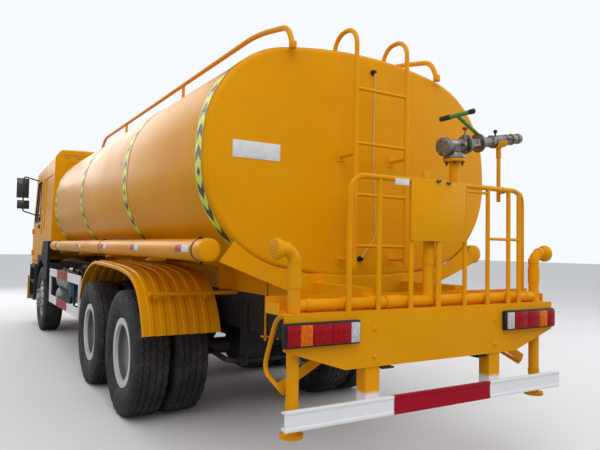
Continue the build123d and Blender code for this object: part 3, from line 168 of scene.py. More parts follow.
def raw(name, colour, shade, rough_low, rough_high, metallic=0.0, bump=0.2, bump_scale=180.0, dirt=0.4, **sockets):
    """A bare or moulded surface: mottled colour, worn gloss and a fine grain."""
    mix = Recipe(name)
    tone = mix.mix(mix.ramp(mix.noise(30.0), 0.3, 0.72), colour, shade)
    low_down = mix.ramp(mix.axis("Z"), 0.1, 1.4, 1.0, 0.25)
    film = mix.math("MULTIPLY", mix.math("MULTIPLY", mix.ramp(mix.noise(6.0, 6), 0.4, 0.75), low_down), dirt)
    tone = mix.mix(film, tone, ROAD_DIRT)
    rough = mix.ramp(mix.noise(21.0), 0.3, 0.7, rough_low, rough_high)
    mix.close(tone, rough, metallic, (mix.noise(bump_scale, 3), bump, 0.002), **sockets)


def hazard_tape(name, middles, centre_z, period, slope, half):
    """Black chevrons on yellow-green tape, their points turned away from a diamond at a height."""
    mix = Recipe(name)
    across = mix.math("ABSOLUTE", mix.math("SUBTRACT", mix.axis("Y"), middles[0]))
    for middle in middles[1:]:
        across = mix.math("MINIMUM", across, mix.math("ABSOLUTE", mix.math("SUBTRACT", mix.axis("Y"), middle)))
    height = mix.math("ABSOLUTE", mix.math("SUBTRACT", mix.axis("Z"), centre_z))
    run = mix.math("DIVIDE", mix.math("ADD", height, mix.math("MULTIPLY", across, slope)), period)
    black = mix.ramp(mix.math("PINGPONG", run, 0.5), 0.235, 0.26, 1.0, 0.0)
    black = mix.math("MULTIPLY", black, mix.ramp(across, half - 0.002, half, 1.0, 0.0))
    tone = mix.mix(black, (0.62, 0.8, 0.05), (0.02, 0.025, 0.02))
    tone = mix.mix(mix.ramp(mix.noise(22.0), 0.55, 0.8, 0.0, 0.35), tone, DUST)
    cells = mix.add("ShaderNodeTexVoronoi", {"Vector": mix.place, "Scale": 420.0}).outputs["Distance"]
    mix.close(tone, mix.ramp(mix.noise(40.0), 0.3, 0.7, 0.3, 0.5), 0.0, (cells, 0.25, 0.0006))


def lens(name, colour, deep):
    """A moulded lamp lens with a fine pattern of prisms."""
    mix = Recipe(name)
    cells = mix.add("ShaderNodeTexVoronoi", {"Vector": mix.place, "Scale": 95.0}).outputs["Distance"]
    tone = mix.mix(mix.ramp(cells, 0.1, 0.6), colour, deep)
    mix.close(tone, mix.ramp(mix.noise(30.0), 0.3, 0.7, 0.08, 0.2), 0.0, (cells, 0.2, 0.001), Specular_IOR_Level=0.2)


def dish_with_painted_shade(name, colour, shade, x_shade_starts, x_lip):
    """Rim paint, greyer on the slope of the barrel with painted shade, and bright again on the lip."""
    mix = Recipe(name)
    across = mix.math("ABSOLUTE", mix.axis("X"))
    # Painted shade: the barrel's slope, out from the disc, darkens towards the shade colour
    tone = mix.mix(mix.ramp(across, x_shade_starts, x_shade_starts + 0.1), colour, shade)
    tone = mix.mix(mix.ramp(across, x_lip - 0.004, x_lip), tone, colour)
    tone = mix.mix(mix.ramp(mix.noise(3.0, 2), 0.5, 0.8, 0.0, 0.2), tone, ROAD_DIRT)
    mix.close(tone, mix.ramp(mix.noise(2.0), 0.3, 0.7, 0.36, 0.44), 0.3)


def pane(name, tint):
    """Window glass, with a film of dust."""
    mix = Recipe(name)
    tone = mix.mix(mix.ramp(mix.noise(9.0), 0.4, 0.8, 0.0, 0.4), tint, DUST)
    mix.close(tone, mix.ramp(mix.noise(9.0), 0.3, 0.7, 0.03, 0.12), Transmission_Weight=0.85, IOR=1.45)


TAPE_WIDTH = 0.11
TAPE_MIDDLES = (tank_rear - 0.085, board_rear - 2.586, board_rear - 4.53, tank_front + 0.056)

paint("tank_paint", 0.3, 0.08)
paint("cab_paint", 0.33, 0.1)
paint("fitting_paint", 0.36, 0.12)
paint("mudguard_paint", 0.33, 0.14)
paint("bar_paint", 0.39, 0.1, bands=(("Z", 0.3, 0.675, 0.018, WHITE), ("X", -0.389, 0.389, 0.006, RED)))
paint("side_guard_paint", 0.41, 0.15, WHITE, WHITE_DULL, bands=(("Y", -1.5, -0.65, 0.003, GUARD_RED),))
raw("chassis_black", (0.010, 0.010, 0.011), (0.018, 0.018, 0.018), 0.5, 0.7, dirt=0.15)
raw("plastic_dark", (0.013, 0.014, 0.016), (0.02, 0.021, 0.024), 0.5, 0.68, bump_scale=420.0, dirt=0.1,
    Specular_IOR_Level=0.25)
raw("rubber", (0.013, 0.013, 0.013), (0.022, 0.021, 0.02), 0.6, 0.8, bump=0.25, dirt=0.3)
raw("blue_plastic", (0.02, 0.16, 0.32), (0.015, 0.11, 0.24), 0.35, 0.5)
raw("rim_paint", (0.56, 0.55, 0.52), (0.44, 0.43, 0.4), 0.35, 0.55, 0.25, bump=0.1, dirt=0.55)
# Drive rims: painted shade darkens the slope of each barrel
dish_with_painted_shade("rim_with_painted_shade", (0.74, 0.74, 0.72), (0.15, 0.148, 0.14), 1.06, 1.19)
raw("alloy", (0.5, 0.5, 0.5), (0.36, 0.36, 0.36), 0.35, 0.6, 0.8)
raw("cast_iron", (0.19, 0.178, 0.16), (0.3, 0.28, 0.255), 0.3, 0.5, 0.75, 0.3, 130.0, 0.1)
raw("iron_dark", (0.05, 0.048, 0.045), (0.09, 0.085, 0.08), 0.5, 0.75, 0.4)
raw("zinc", (0.42, 0.42, 0.41), (0.3, 0.29, 0.28), 0.35, 0.55, 0.85)
raw("green_paint", (0.075, 0.31, 0.045), (0.06, 0.25, 0.04), 0.35, 0.5, dirt=0.1)
raw("red_paint", (0.4, 0.02, 0.02), (0.3, 0.015, 0.015), 0.35, 0.5)
raw("cloth", (0.06, 0.06, 0.065), (0.09, 0.09, 0.1), 0.85, 0.95, bump=0.6, bump_scale=700.0, dirt=0.1)
raw("dash_plastic", (0.08, 0.08, 0.085), (0.1, 0.1, 0.1), 0.55, 0.7, bump=0.3, bump_scale=600.0, dirt=0.1)
raw("sign_white", (0.78, 0.79, 0.79), (0.7, 0.7, 0.69), 0.4, 0.55, dirt=0.2)
raw("tape_red", (0.5, 0.03, 0.05), (0.42, 0.025, 0.04), 0.3, 0.45, bump_scale=900.0)
raw("mirror_face", (0.03, 0.034, 0.036), (0.045, 0.05, 0.052), 0.05, 0.12, bump=0.0, dirt=0.0)
raw("clear_hose", (0.66, 0.42, 0.12), (0.6, 0.38, 0.1), 0.2, 0.35, dirt=0.0)
hazard_tape("hazard", TAPE_MIDDLES, 1.928, 0.137, 1.1, TAPE_WIDTH / 2 - 0.008)
lens("lens_red", (0.5, 0.002, 0.012), (0.3, 0.001, 0.006))
lens("lens_amber", (0.9, 0.22, 0.001), (0.65, 0.12, 0.001))
lens("lens_white", (0.75, 0.75, 0.74), (0.5, 0.5, 0.5))
pane("window", (0.32, 0.36, 0.36))
NODE_FINISH = {
    "chassis_black": ("frame_rails", "cross_members", "front_axle", "drive_axles", "leaf_springs", "knuckle_left",
                      "knuckle_right", "tie_rod", "cab_steps", "anti_roll_bar", "propeller_shafts"),
    "iron_dark": ("engine_block",),
    "alloy": ("fuel_tank", "air_tanks"),
    "plastic_dark": ("splash_panels", "wheel_arches", "front_grille", "mirror_left", "mirror_right"),
    "cab_paint": ("cab_shell", "door_left", "door_right", "front_bumper"),
    "tank_paint": ("hose_tubes", "filler_collar", "filler_lid"),
    "fitting_paint": ("tank_saddles", "subframe_beams", "ladder"),
    "cast_iron": ("cannon_barrel",),
    "bar_paint": ("underrun_bar",),
    "lens_white": ("headlamps",),
    "window": ("windscreen", "door_glass_left", "door_glass_right"),
    "cloth": ("seats",),
    "dash_plastic": ("dashboard",),
    "rim_paint": ("front_rim_left", "front_rim_right"),
    "rim_with_painted_shade": tuple(f"{axle}_rims_{side}" for axle in ("middle", "rear") for side, _ in SIDES),
}


def wear(piece, finish):
    piece.data.materials.clear()
    piece.data.materials.append(FINISH[finish])


def dress_nodes():
    for finish, names in NODE_FINISH.items():
        for name in names:
            wear(nodes[name], finish)


# Modelling by hand: one piece is worked on at a time
def pick(*pieces):
    bpy.ops.object.select_all(action="DESELECT")
    for piece in pieces:
        piece.select_set(True)
    bpy.context.view_layer.objects.active = pieces[0]


def settle(name):
    """Names the active piece and puts its place into its mesh."""
    piece = bpy.context.object
    pick(piece)
    bpy.ops.object.transform_apply(location=True, rotation=True, scale=True)
    piece.name = name
    return piece


def apply_modifier(piece, kind, **settings):
    pick(piece)
    modifier = piece.modifiers.new(kind.lower(), kind)
    for key, value in settings.items():
        setattr(modifier, key, value)
    bpy.ops.object.modifier_apply(modifier=modifier.name)
    return piece


def smooth(piece, angle=35):
    pick(piece)
    bpy.ops.object.shade_smooth_by_angle(angle=radians(angle))
    return piece


def block(name, low, high, edge=0.0, segments=2):
    """A block between two corners, its edges rounded."""
    low, high = Vector(low), Vector(high)
    bpy.ops.mesh.primitive_cube_add(size=1, location=(low + high) / 2, scale=high - low)
    piece = settle(name)
    if edge:
        apply_modifier(piece, "BEVEL", width=edge, segments=segments)
    return smooth(piece)


def bar(name, start, end, radius, edge=0.0, sides=24, end_radius=None):
    """A round bar, its rims rounded."""
    start, end = Vector(start), Vector(end)
    end_radius = radius if end_radius is None else end_radius
    rotation = (end - start).to_track_quat("Z", "Y").to_euler()
    bpy.ops.mesh.primitive_cone_add(vertices=sides, radius1=radius, radius2=end_radius, depth=(end - start).length,
                                    location=(start + end) / 2, rotation=rotation)
    piece = settle(name)
    if edge:
        apply_modifier(piece, "BEVEL", width=edge, segments=2, limit_method="ANGLE", angle_limit=radians(50))
    return smooth(piece)


def turned(profile, centre, axis, steps=48):
    """A profile of (radius, offset) corners, spun about an axis. The corners come one by one from one vertex."""
    axis = Vector(axis)
    side = axis.orthogonal().normalized()
    centre = Vector(centre)
    bpy.ops.mesh.primitive_plane_add(size=0.01, location=centre)
    piece = settle("turned")
    bpy.ops.object.mode_set(mode="EDIT")
    bpy.ops.mesh.select_all(action="SELECT")
    bpy.ops.mesh.merge(type="CENTER")
    last = Vector((0, 0))
    for index, (radius, offset) in enumerate(profile):
        step = side * (radius - last.x) + axis * (offset - last.y)
        if index:
            bpy.ops.mesh.extrude_vertices_move(TRANSFORM_OT_translate={"value": step})
        else:
            bpy.ops.transform.translate(value=step)
        last = Vector((radius, offset))
    bpy.ops.mesh.select_all(action="SELECT")
    bpy.ops.mesh.spin(steps=steps, angle=2 * pi, center=centre, axis=axis)
    bpy.ops.mesh.select_all(action="SELECT")
    bpy.ops.mesh.remove_doubles(threshold=0.0002)
    bpy.ops.mesh.normals_make_consistent(inside=False)
    bpy.ops.object.mode_set(mode="OBJECT")
    return smooth(piece, 40)


def rounded(points, bend):
    """A path through given corners, each rounded by a bend."""
    corners = [Vector(p) for p in points]
    path = [corners[0]]
    for before, corner, after in zip(corners, corners[1:], corners[2:]):
        reach = min(bend, (corner - before).length / 2, (after - corner).length / 2)
        start, end = corner + (before - corner).normalized() * reach, corner + (after - corner).normalized() * reach
        path += [start.lerp(corner, t / 6).lerp(corner.lerp(end, t / 6), t / 6) for t in range(7)]
    return path + [corners[-1]]


def tube(name, points, radius, bend=0.08, sides=16):
    """A round tube along a rounded path."""
    curve = bpy.data.curves.new(name, "CURVE")
    curve.dimensions = "3D"
    curve.bevel_depth = radius
    curve.bevel_resolution = max(1, sides // 4 - 1)
    curve.use_fill_caps = True
    path = rounded(points, bend)
    spline = curve.splines.new("POLY")
    spline.points.add(len(path) - 1)
    for point, place in zip(spline.points, path):
        point.co = (*place, 1)
    piece = bpy.data.objects.new(name, curve)
    link(piece)
    pick(piece)
    bpy.ops.object.convert(target="MESH")
    return smooth(settle(name), 50)


def joined(name, pieces):
    pick(*pieces)
    if len(pieces) > 1:
        bpy.ops.object.join()
    piece = bpy.context.object
    piece.name = name
    return piece


def copied(piece, move=(0, 0, 0), flip=None):
    """A copy with its own mesh, moved, or mirrored across the truck."""
    twin = piece.copy()
    twin.data = piece.data.copy()
    link(twin)
    twin.data.transform(Matrix.Translation(move))
    if flip:
        twin.data.transform(Matrix.Scale(-1, 4, flip))
        twin.data.flip_normals()
    return twin


def on_both_sides(pieces):
    left = joined("left", pieces)
    return [left, copied(left, flip=X)]


def taken(node):
    """A new piece with a node's mesh."""
    twin = bpy.data.objects.new(node, nodes[node].data.copy())
    link(twin)
    twin.data.transform(nodes[node].matrix_world)
    return twin


def cut_off(piece, place, outward, closed=True):
    """Cuts away what lies beyond a plane, and closes the cut of a solid piece."""
    pick(piece)
    bpy.ops.object.mode_set(mode="EDIT")
    bpy.ops.mesh.select_all(action="SELECT")
    bpy.ops.mesh.bisect(plane_co=place, plane_no=outward, clear_outer=True, use_fill=closed)
    bpy.ops.object.mode_set(mode="OBJECT")
    return piece


def keep(name, pieces, finish, *replaced, body="chassis"):
    """Joins finished pieces into a named one, with its material and the body that it rides on."""
    piece = joined(name, pieces)
    wear(piece, finish)
    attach(piece, body)
    if replaced:
        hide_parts(*replaced)


# The tank: its outline is four large arcs whose corners are rounded
TANK_HALF, TANK_TOP, TANK_BOTTOM = 1.228, 2.862, 1.268
ARC_TOP, ARC_BOTTOM, ARC_SIDE, SIDE_MIDDLE, CORNER = 3.4, 3.3, 1.7, 2.005, 0.68
TANK_ARCS = ((Vector((0, TANK_TOP - ARC_TOP)), ARC_TOP), (Vector((0, TANK_BOTTOM + ARC_BOTTOM)), ARC_BOTTOM),
             (Vector((TANK_HALF - ARC_SIDE, SIDE_MIDDLE)), ARC_SIDE),
             (Vector((ARC_SIDE - TANK_HALF, SIDE_MIDDLE)), ARC_SIDE))


def inside_arcs(point):
    """Whether a point lies in all four arcs once each is drawn in by the corner radius."""
    return all((point - middle).length < radius - CORNER + 1e-6 for middle, radius in TANK_ARCS)


def arc_crossings():
    """Where the drawn-in arcs cross."""
    corners = []
    for middle, radius in TANK_ARCS[:2]:
        for side_middle, side_radius in TANK_ARCS[2:]:
            a, b = radius - CORNER, side_radius - CORNER
            gap = side_middle - middle
            along = (a * a - b * b + gap.length_squared) / (2 * gap.length)
            off = sqrt(a * a - along * along)
            unit = gap.normalized()
            for turn in (1, -1):
                point = middle + unit * along + Vector((-unit.y, unit.x)) * off * turn
                if inside_arcs(point):
                    corners.append(point)
    return corners


TANK_CORNERS = arc_crossings()


def tank_point(angle, margin=0.0):
    """The outline's point whose outward normal stands at an angle, as (x, z)."""
    normal = Vector((cos(angle), sin(angle)))
    for middle, radius in TANK_ARCS:
        core = middle + normal * (radius - CORNER)
        if inside_arcs(core):
            return core + normal * (CORNER + margin)
    core = max(TANK_CORNERS, key=lambda point: point.dot(normal))
    return core + normal * (CORNER + margin)


TANK_SEGMENTS = 288
KNUCKLE_R = 0.034


def drum(y0, y1, radius, sides, x=0, z=0, filled=False):
    """A cylinder that lies along the truck, its ends open or filled."""
    bpy.ops.mesh.primitive_cylinder_add(vertices=sides, radius=radius, depth=y1 - y0,
                                        location=(x, (y0 + y1) / 2, z), rotation=(pi / 2, 0, 0),
                                        end_fill_type="NGON" if filled else "NOTHING")
    return settle("drum")


def tank_ring(y0, y1, margin, filled=False, edge=0.0):
    """A drum drawn onto the tank's outline between two places along the truck."""
    piece = drum(y0, y1, 1, TANK_SEGMENTS, filled=filled)
    for vertex in piece.data.vertices:
        x, z = tank_point(atan2(vertex.co.z, vertex.co.x), margin)
        vertex.co.x, vertex.co.z = x, z
    if edge:
        apply_modifier(piece, "BEVEL", width=edge, segments=6, limit_method="ANGLE", angle_limit=radians(50))
    return piece


def strip_of(ring, z0, z1, x, side, thickness):
    """What lies between two heights of a ring and outside a place on one side of the truck, made solid."""
    for place, outward in (((0, 0, z0), -Z), ((0, 0, z1), Z), ((x, 0, 0), -side * X)):
        cut_off(ring, place, outward, False)
    apply_modifier(ring, "SOLIDIFY", thickness=thickness, offset=1)
    return smooth(ring)


SEAM_YS = (board_rear - 2.52, board_rear - 4.46)


def weld_bead(y0, y1):
    return apply_modifier(tank_ring(y0, y1, 0.001), "SOLIDIFY", thickness=0.003, offset=1)


def make_tank():
    body = smooth(tank_ring(tank_front, tank_rear, 0.0, True, KNUCKLE_R), 50)
    keep("tank_body", [body], "tank_paint", "water_tank")
    beads = [weld_bead(seam_y - 0.006, seam_y + 0.006) for seam_y in SEAM_YS]
    keep("weld_seams", [smooth(joined("weld", beads), 60)], "tank_paint")
    strips = []
    for sign in (1, -1):
        for middle in TAPE_MIDDLES:
            ring = tank_ring(middle - TAPE_WIDTH / 2, middle + TAPE_WIDTH / 2, 0.002)
            strips.append(strip_of(ring, 1.45, 2.66, sign * 0.3, sign, 0.0012))
    keep("hazard_tapes", strips, "hazard")
    plate = block("sign", (0.702, tank_rear + 0.0005, 2.028), (1.04, tank_rear + 0.003, 2.138), 0.0008)
    keep("blank_sign", [plate], "sign_white")


# Around the tank: the skirt and its plates, the bead of the rear head, the rails on top
RAIL_PATH = ((-1.54, 2.79), (-1.26, 3.021), (3.62, 3.03), (4.08, 2.94), (4.145, 2.80))
RAIL_X = 0.645
RAIL_STAY_YS = (tank_rear - 2.05, tank_rear - 4.15)


def make_tank_surrounds():
    skirt = taken("rear_skirt")
    for sign in (1, -1):
        cut_off(skirt, (sign * 1.11, 0, 1.376), (sign * 0.8, 0, 0.6))
    plate = block("plate", (-0.434, tank_rear - 0.012, 1.104), (0.434, tank_rear - 0.001, 1.29), 0.001)
    belly = block("belly", (-0.43, tank_front + 0.04, 1.236), (0.43, tank_rear - 0.006, 1.3), 0.002)
    keep("skirt", [skirt, plate, belly], "fitting_paint", "rear_skirt")
    keep("rim_bead", [smooth(weld_bead(tank_rear - 0.04, tank_rear - 0.03), 60)], "tank_paint")
    rails = []
    for x in (RAIL_X, -RAIL_X):
        rails.append(tube("rail", [(x, y, z) for y, z in RAIL_PATH], 0.019, 0.2, 24))
        for y in RAIL_STAY_YS:
            rails.append(bar("stay", (x, y, 2.78), (x, y, 3.022), 0.015))
        for y in (*RAIL_STAY_YS, RAIL_PATH[0][0], RAIL_PATH[-1][0]):
            rails.append(bar("foot", (x, y, 2.775), (x, y, 2.822), 0.026, 0.003))
    keep("tank_top_rails", rails, "fitting_paint", "top_rails")


# Rear mudguards: sheets with pressed ribs, bent over both rear wheels of a side, and the stay behind them
MUDGUARD_PATH = ((0.425, 0.845), (0.55, 1.045), (0.72, 1.172), (0.965, 1.262), (1.16, 1.3), (1.74, 1.291),
                 (2.235, 1.272), (2.537, 1.237), (2.70, 1.178), (2.80, 1.11), (2.886, 1.005), (2.95, 0.89),
                 (2.992, 0.773))
MUDGUARD_RIBS = (1.165, 1.075, 0.985, 0.895, 0.805, 0.715)
STAY_Y, STAY_Z = 2.915, 1.088


def make_mudguards():
    section = [(1.24, -0.028), (1.24, -0.005), (1.235, 0.0)]
    for rib_x in MUDGUARD_RIBS:
        section += [(rib_x + 0.024, 0.0), (rib_x + 0.013, 0.010), (rib_x - 0.013, 0.010), (rib_x - 0.024, 0.0)]
    section += [(0.605, 0.0), (0.6, -0.005), (0.6, -0.022)]
    path = rounded([(0, y, z) for y, z in MUDGUARD_PATH], 0.12)
    columns, rows = len(section) - 1, len(path) - 1
    bpy.ops.mesh.primitive_grid_add(x_subdivisions=columns, y_subdivisions=rows, size=1)
    sheet = settle("sheet")
    for vertex in sheet.data.vertices:
        x, rise = section[round((vertex.co.x + 0.5) * columns)]
        row = round((vertex.co.y + 0.5) * rows)
        along = (path[min(row + 1, rows)] - path[max(row - 1, 0)]).normalized()
        vertex.co = path[row] + Vector((x, -along.z * rise, along.y * rise))
    apply_modifier(sheet, "SOLIDIFY", thickness=0.004, offset=0)
    pieces = [smooth(sheet, 38), bar("stay", (0.425, STAY_Y, STAY_Z), (1.18, STAY_Y, STAY_Z), 0.0165, 0.002)]
    pieces.append(bar("collar", (1.155, STAY_Y, STAY_Z), (1.186, STAY_Y, STAY_Z), 0.0225, 0.003))
    for clip_x in (1.13, 0.72):
        pieces.append(block("clip", (clip_x - 0.012, 2.8, STAY_Z - 0.032),
                            (clip_x + 0.012, STAY_Y + 0.012, STAY_Z - 0.012), 0.002))
        pieces.append(bar("bolt", (clip_x, STAY_Y, STAY_Z - 0.05), (clip_x, STAY_Y, STAY_Z - 0.03), 0.008,
                          0.001, 6))
    keep("mudguards", on_both_sides(pieces), "mudguard_paint", "rear_mudguards")


# Side guards: the white rails, with dark brackets behind them; and the underrun bar's two pressed lips
def make_guards():
    (_, y0, z0), (x1, y1, z1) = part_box("side_guards")
    x0 = x1 - 0.025
    rails = [block("post", (x0, y, z0), (x1, y + 0.05, z1), 0.003) for y in (y0, y1 - 0.05)]
    for rail_z in (z0 + 0.055, z1 - 0.055):
        rails.append(block("web", (x0, y0 + 0.04, rail_z - 0.054), (x1 - 0.005, y1 - 0.04, rail_z + 0.054)))
        for low, high in ((-0.055, -0.023), (-0.012, 0.012), (0.023, 0.055)):
            corner = (x0 + 0.002, y0 + 0.045, rail_z + low)
            rails.append(block("rib", corner, (x1, y1 - 0.045, rail_z + high), 0.003))
    keep("guard_rails", on_both_sides(rails), "side_guard_paint", "side_guards")
    brackets = []
    for sign in (1, -1):
        for y in (y0 + 0.1, y1 - 0.5):
            brackets.append(block("arm", (sign * 0.43, y - 0.02, 1.03), (sign * 1.172, y + 0.02, 1.07), 0.003))
            brackets.append(block("drop", (sign * 1.15, y - 0.02, 0.61), (sign * 1.173, y + 0.02, 1.07), 0.003))
    keep("guard_brackets", brackets, "chassis_black")
    bar_low, bar_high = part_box("underrun_bar")
    lips = [block("lip", (bar_low.x, bar_high.y - 0.002, z0), (bar_high.x, bar_high.y + 0.003, z1), 0.002)
            for z0, z1 in ((0.558, 0.578), (0.644, 0.662))]
    keep("underrun_lips", lips, "bar_paint")


# Tyres: a turned carcass whose ribs and grooves zigzag round it, with notched shoulders
TREAD_R = 0.54
GROOVE_DEPTH = 0.013
GROOVE_XS = (0.081, 0.027, -0.027, -0.081)
GROOVE_HALF = 0.0045
ZIGZAG = 0.0065
NOTCH = 0.012
TYRE_STEPS = 116
FRONT_TYRE_X, OUTER_TYRE_X, INNER_TYRE_X = 1.024, 1.098, 0.763


def tyre(x, y):
    """Half of the profile is listed; it is mirrored across the tyre's middle."""
    half = [(0.2555, 0.107), (0.302, 0.109), (0.309, 0.118), (0.325, 0.1305), (0.372, 0.144), (0.405, 0.1495),
            (0.432, 0.1498), (0.436, 0.1475), (0.440, 0.1498), (0.480, 0.1455), (0.503, 0.1390),
            (0.506, 0.1352), (0.522, 0.1345), (0.530, 0.129)]
    grooves = []
    for middle in GROOVE_XS:
        outer, inner = middle + GROOVE_HALF, middle - GROOVE_HALF
        grooves += [(TREAD_R - 0.002, outer + 0.002), (TREAD_R - GROOVE_DEPTH, outer - 0.002),
                    (TREAD_R - GROOVE_DEPTH, inner + 0.002), (TREAD_R - 0.002, inner - 0.002)]
    profile = half + grooves + [(radius, -offset) for radius, offset in reversed(half)] + [half[0]]
    piece = turned(profile, (x, y, WHEEL_Z), X, TYRE_STEPS)
    for vertex in piece.data.vertices:
        across, dy, dz = vertex.co.x - x, vertex.co.y - y, vertex.co.z - WHEEL_Z
        radius = sqrt(dy * dy + dz * dz)
        step = round(atan2(dz, dy) / (2 * pi) * TYRE_STEPS)
        if radius > 0.52 and abs(across) < 0.1:
            vertex.co.x += ZIGZAG if step % 2 else -ZIGZAG
        elif radius > 0.515 and step % 4 == 0:
            vertex.co.x -= NOTCH if across > 0 else -NOTCH
            scale = (radius - 0.004) / radius
            vertex.co.y, vertex.co.z = y + dy * scale, WHEEL_Z + dz * scale
    return smooth(piece, 30)


def make_tyres():
    steer = tyre(FRONT_TYRE_X, AXLE_YS["front"])
    drive = tyre(OUTER_TYRE_X, AXLE_YS["middle"])
    pair = joined("pair", [drive, copied(drive, (INNER_TYRE_X - OUTER_TYRE_X, 0, 0))])
    step = AXLE_YS["rear"] - AXLE_YS["middle"]
    for side, sign in SIDES:
        flip = X if sign < 0 else None
        keep(f"steer_tyre_{side}", [copied(steer, flip=flip)], "rubber", f"front_tyre_{side}",
             body=f"front_wheel_{side}")
        for axle, move in (("middle", 0), ("rear", step)):
            keep(f"{axle}_drive_tyres_{side}", [copied(pair, (0, move, 0), flip)], "rubber",
                 f"{axle}_tyres_{side}", body=f"{axle}_wheels_{side}")
    bpy.data.objects.remove(steer)
    bpy.data.objects.remove(pair)


def nut_ring(centre, axis, ring_r, count, nut_r, height, sides=6):
    """Nuts in a ring about an axis."""
    axis = Vector(axis)
    side = axis.orthogonal().normalized()
    nuts = []
    for index in range(count):
        spot = Vector(centre) + Matrix.Rotation(2 * pi * index / count, 3, axis) @ (side * ring_r)
        nuts.append(bar("nut", spot, spot + axis * height, nut_r, nut_r * 0.12, sides))
    return joined("nuts", nuts)


def make_wheel_nuts():
    for side, sign in SIDES:
        out = X * sign
        face = Vector((sign * (FRONT_TYRE_X + 0.15), AXLE_YS["front"], WHEEL_Z))
        nuts = nut_ring(face, out, 0.142, 10, 0.019, 0.032)
        studs = nut_ring(face, out, 0.142, 10, 0.010, 0.05, 10)
        keep(f"front_wheel_nuts_{side}", [nuts, studs], "zinc", body=f"front_wheel_{side}")
        for axle in ("middle", "rear"):
            face = Vector((sign * ((OUTER_TYRE_X + INNER_TYRE_X) / 2 + 0.02), AXLE_YS[axle], WHEEL_Z))
            keep(f"{axle}_wheel_nuts_{side}", [nut_ring(face, out, 0.135, 10, 0.019, 0.03)], "zinc",
                 body=f"{axle}_wheels_{side}")


# Tail lamps: a dark case with a row of lenses; each lamp's outer end is listed first
LAMP_ENDS = ((1.083, 0.61), (-1.057, -0.555))
LENS_CELLS = ((0.0, 0.17, "red"), (0.17, 0.335, "amber"), (0.335, 0.6, "red"), (0.6, 0.87, "red"),
              (0.87, 1.0, "white"))


def make_tail_lamps():
    low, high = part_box("tail_lamps")
    cases = []
    groups = {"red": [], "amber": [], "white": []}
    for outer, inner in LAMP_ENDS:
        side = 1 if outer > inner else -1
        x0, x1 = sorted((outer, inner))
        cases.append(block("case", (x0, low.y + 0.0005, low.z), (x1, high.y - 0.012, high.z), 0.009, 3))
        start_x = outer - side * 0.012
        span = x1 - x0 - 0.024
        for start, end, colour in LENS_CELLS:
            a, b = sorted(start_x - side * span * part for part in (start, end))
            groups[colour].append(block("cell", (a + 0.001, high.y - 0.0135, low.z + 0.010),
                                        (b - 0.001, high.y, high.z - 0.010), 0.004))
    keep("lamp_cases", cases, "plastic_dark", "tail_lamps")
    for colour, cells in groups.items():
        keep(f"lamp_lenses_{colour}", cells, f"lens_{colour}")


# The rear platform: board and deck as drawn, and a stirrup step with a slanting brace at each corner
DOME_PROFILE = ((0.0, 0.0), (0.013, 0.0), (0.012, 0.005), (0.007, 0.009), (0.0, 0.010))
STEP_PATH = ((-0.15, 1.107), (-0.271, 1.083), (-0.418, 0.768), (-0.183, 0.689))


def make_platform():
    deck = cut_off(taken("rear_platform"), (0, 0, 1.1195), -Z)
    cut_off(deck, (0, board_rear - 0.0081, 0), Y)
    board = cut_off(taken("rear_platform"), (0, board_rear - 0.0079, 0), -Y)
    y = board_rear - 0.18
    step = [tube("step", [(0.96, board_rear + back, z) for back, z in STEP_PATH], 0.0135, 0.09, 20)]
    brace = block("brace", (0.54, y - 0.003, 0.801), (1.02, y + 0.003, 0.857), 0.001)
    pivot = Vector((0.78, y, 0.829))
    turn = Matrix.Translation(pivot) @ Matrix.Rotation(radians(28), 4, "Y") @ Matrix.Translation(-pivot)
    brace.data.transform(turn)
    step += [brace, block("strap", (0.56, y - 0.003, 0.9), (0.6, y + 0.003, 1.122), 0.001),
             block("bracket", (0.425, board_rear - 0.26, 0.83), (0.435, board_rear - 0.0085, 1.121), 0.001)]
    keep("platform", [deck, board, *on_both_sides(step)], "fitting_paint", "rear_platform")
    bolts = [turned(DOME_PROFILE, (sign * 0.489, board_rear, bolt_z), Y, 16)
             for sign in (1, -1) for bolt_z in (1.030, 0.876)]
    keep("board_bolts", bolts, "fitting_paint")


# Water cannon details, along the cannon's tilted axis
PIPE_Y = 4.7685
CANNON_X, TEE_Z, CANNON_RISE = -0.192, 2.135, radians(10.6)
SWIVEL_LOW, SWIVEL_HIGH = 2.029, 2.067
SWIVEL_R = 0.07
BLIND_AT = -0.109
CRADLE_AT = 0.412
CRADLE_PROFILE = ((0.041, -0.045), (0.048, -0.045), (0.048, 0.045), (0.041, 0.045), (0.041, -0.045))
BARREL_CAP_PROFILE = ((0.0, 0.045), (0.02, 0.043), (0.03, 0.034), (0.0355, 0.02), (0.0355, 0.0), (0.028, -0.006))
KNOB_PROFILE = ((0.0, -0.012), (0.012, -0.009), (0.017, 0.0), (0.012, 0.011), (0.0, 0.014))
BALL_PROFILE = ((0.0, -0.014), (0.010, -0.010), (0.0145, 0.0), (0.010, 0.010), (0.0, 0.014))


def along_cannon(distance, sideways=0.0, upwards=0.0):
    x = CANNON_X - distance * cos(CANNON_RISE) + upwards * sin(CANNON_RISE)
    return Vector((x, PIPE_Y + sideways, TEE_Z + distance * sin(CANNON_RISE) + upwards * cos(CANNON_RISE)))


def under_cannon(z):
    return Vector((CANNON_X, PIPE_Y, z))


def ring_on_cannon(name, start, end, radius, *shape):
    return bar(name, along_cannon(start), along_cannon(end), radius, *shape)


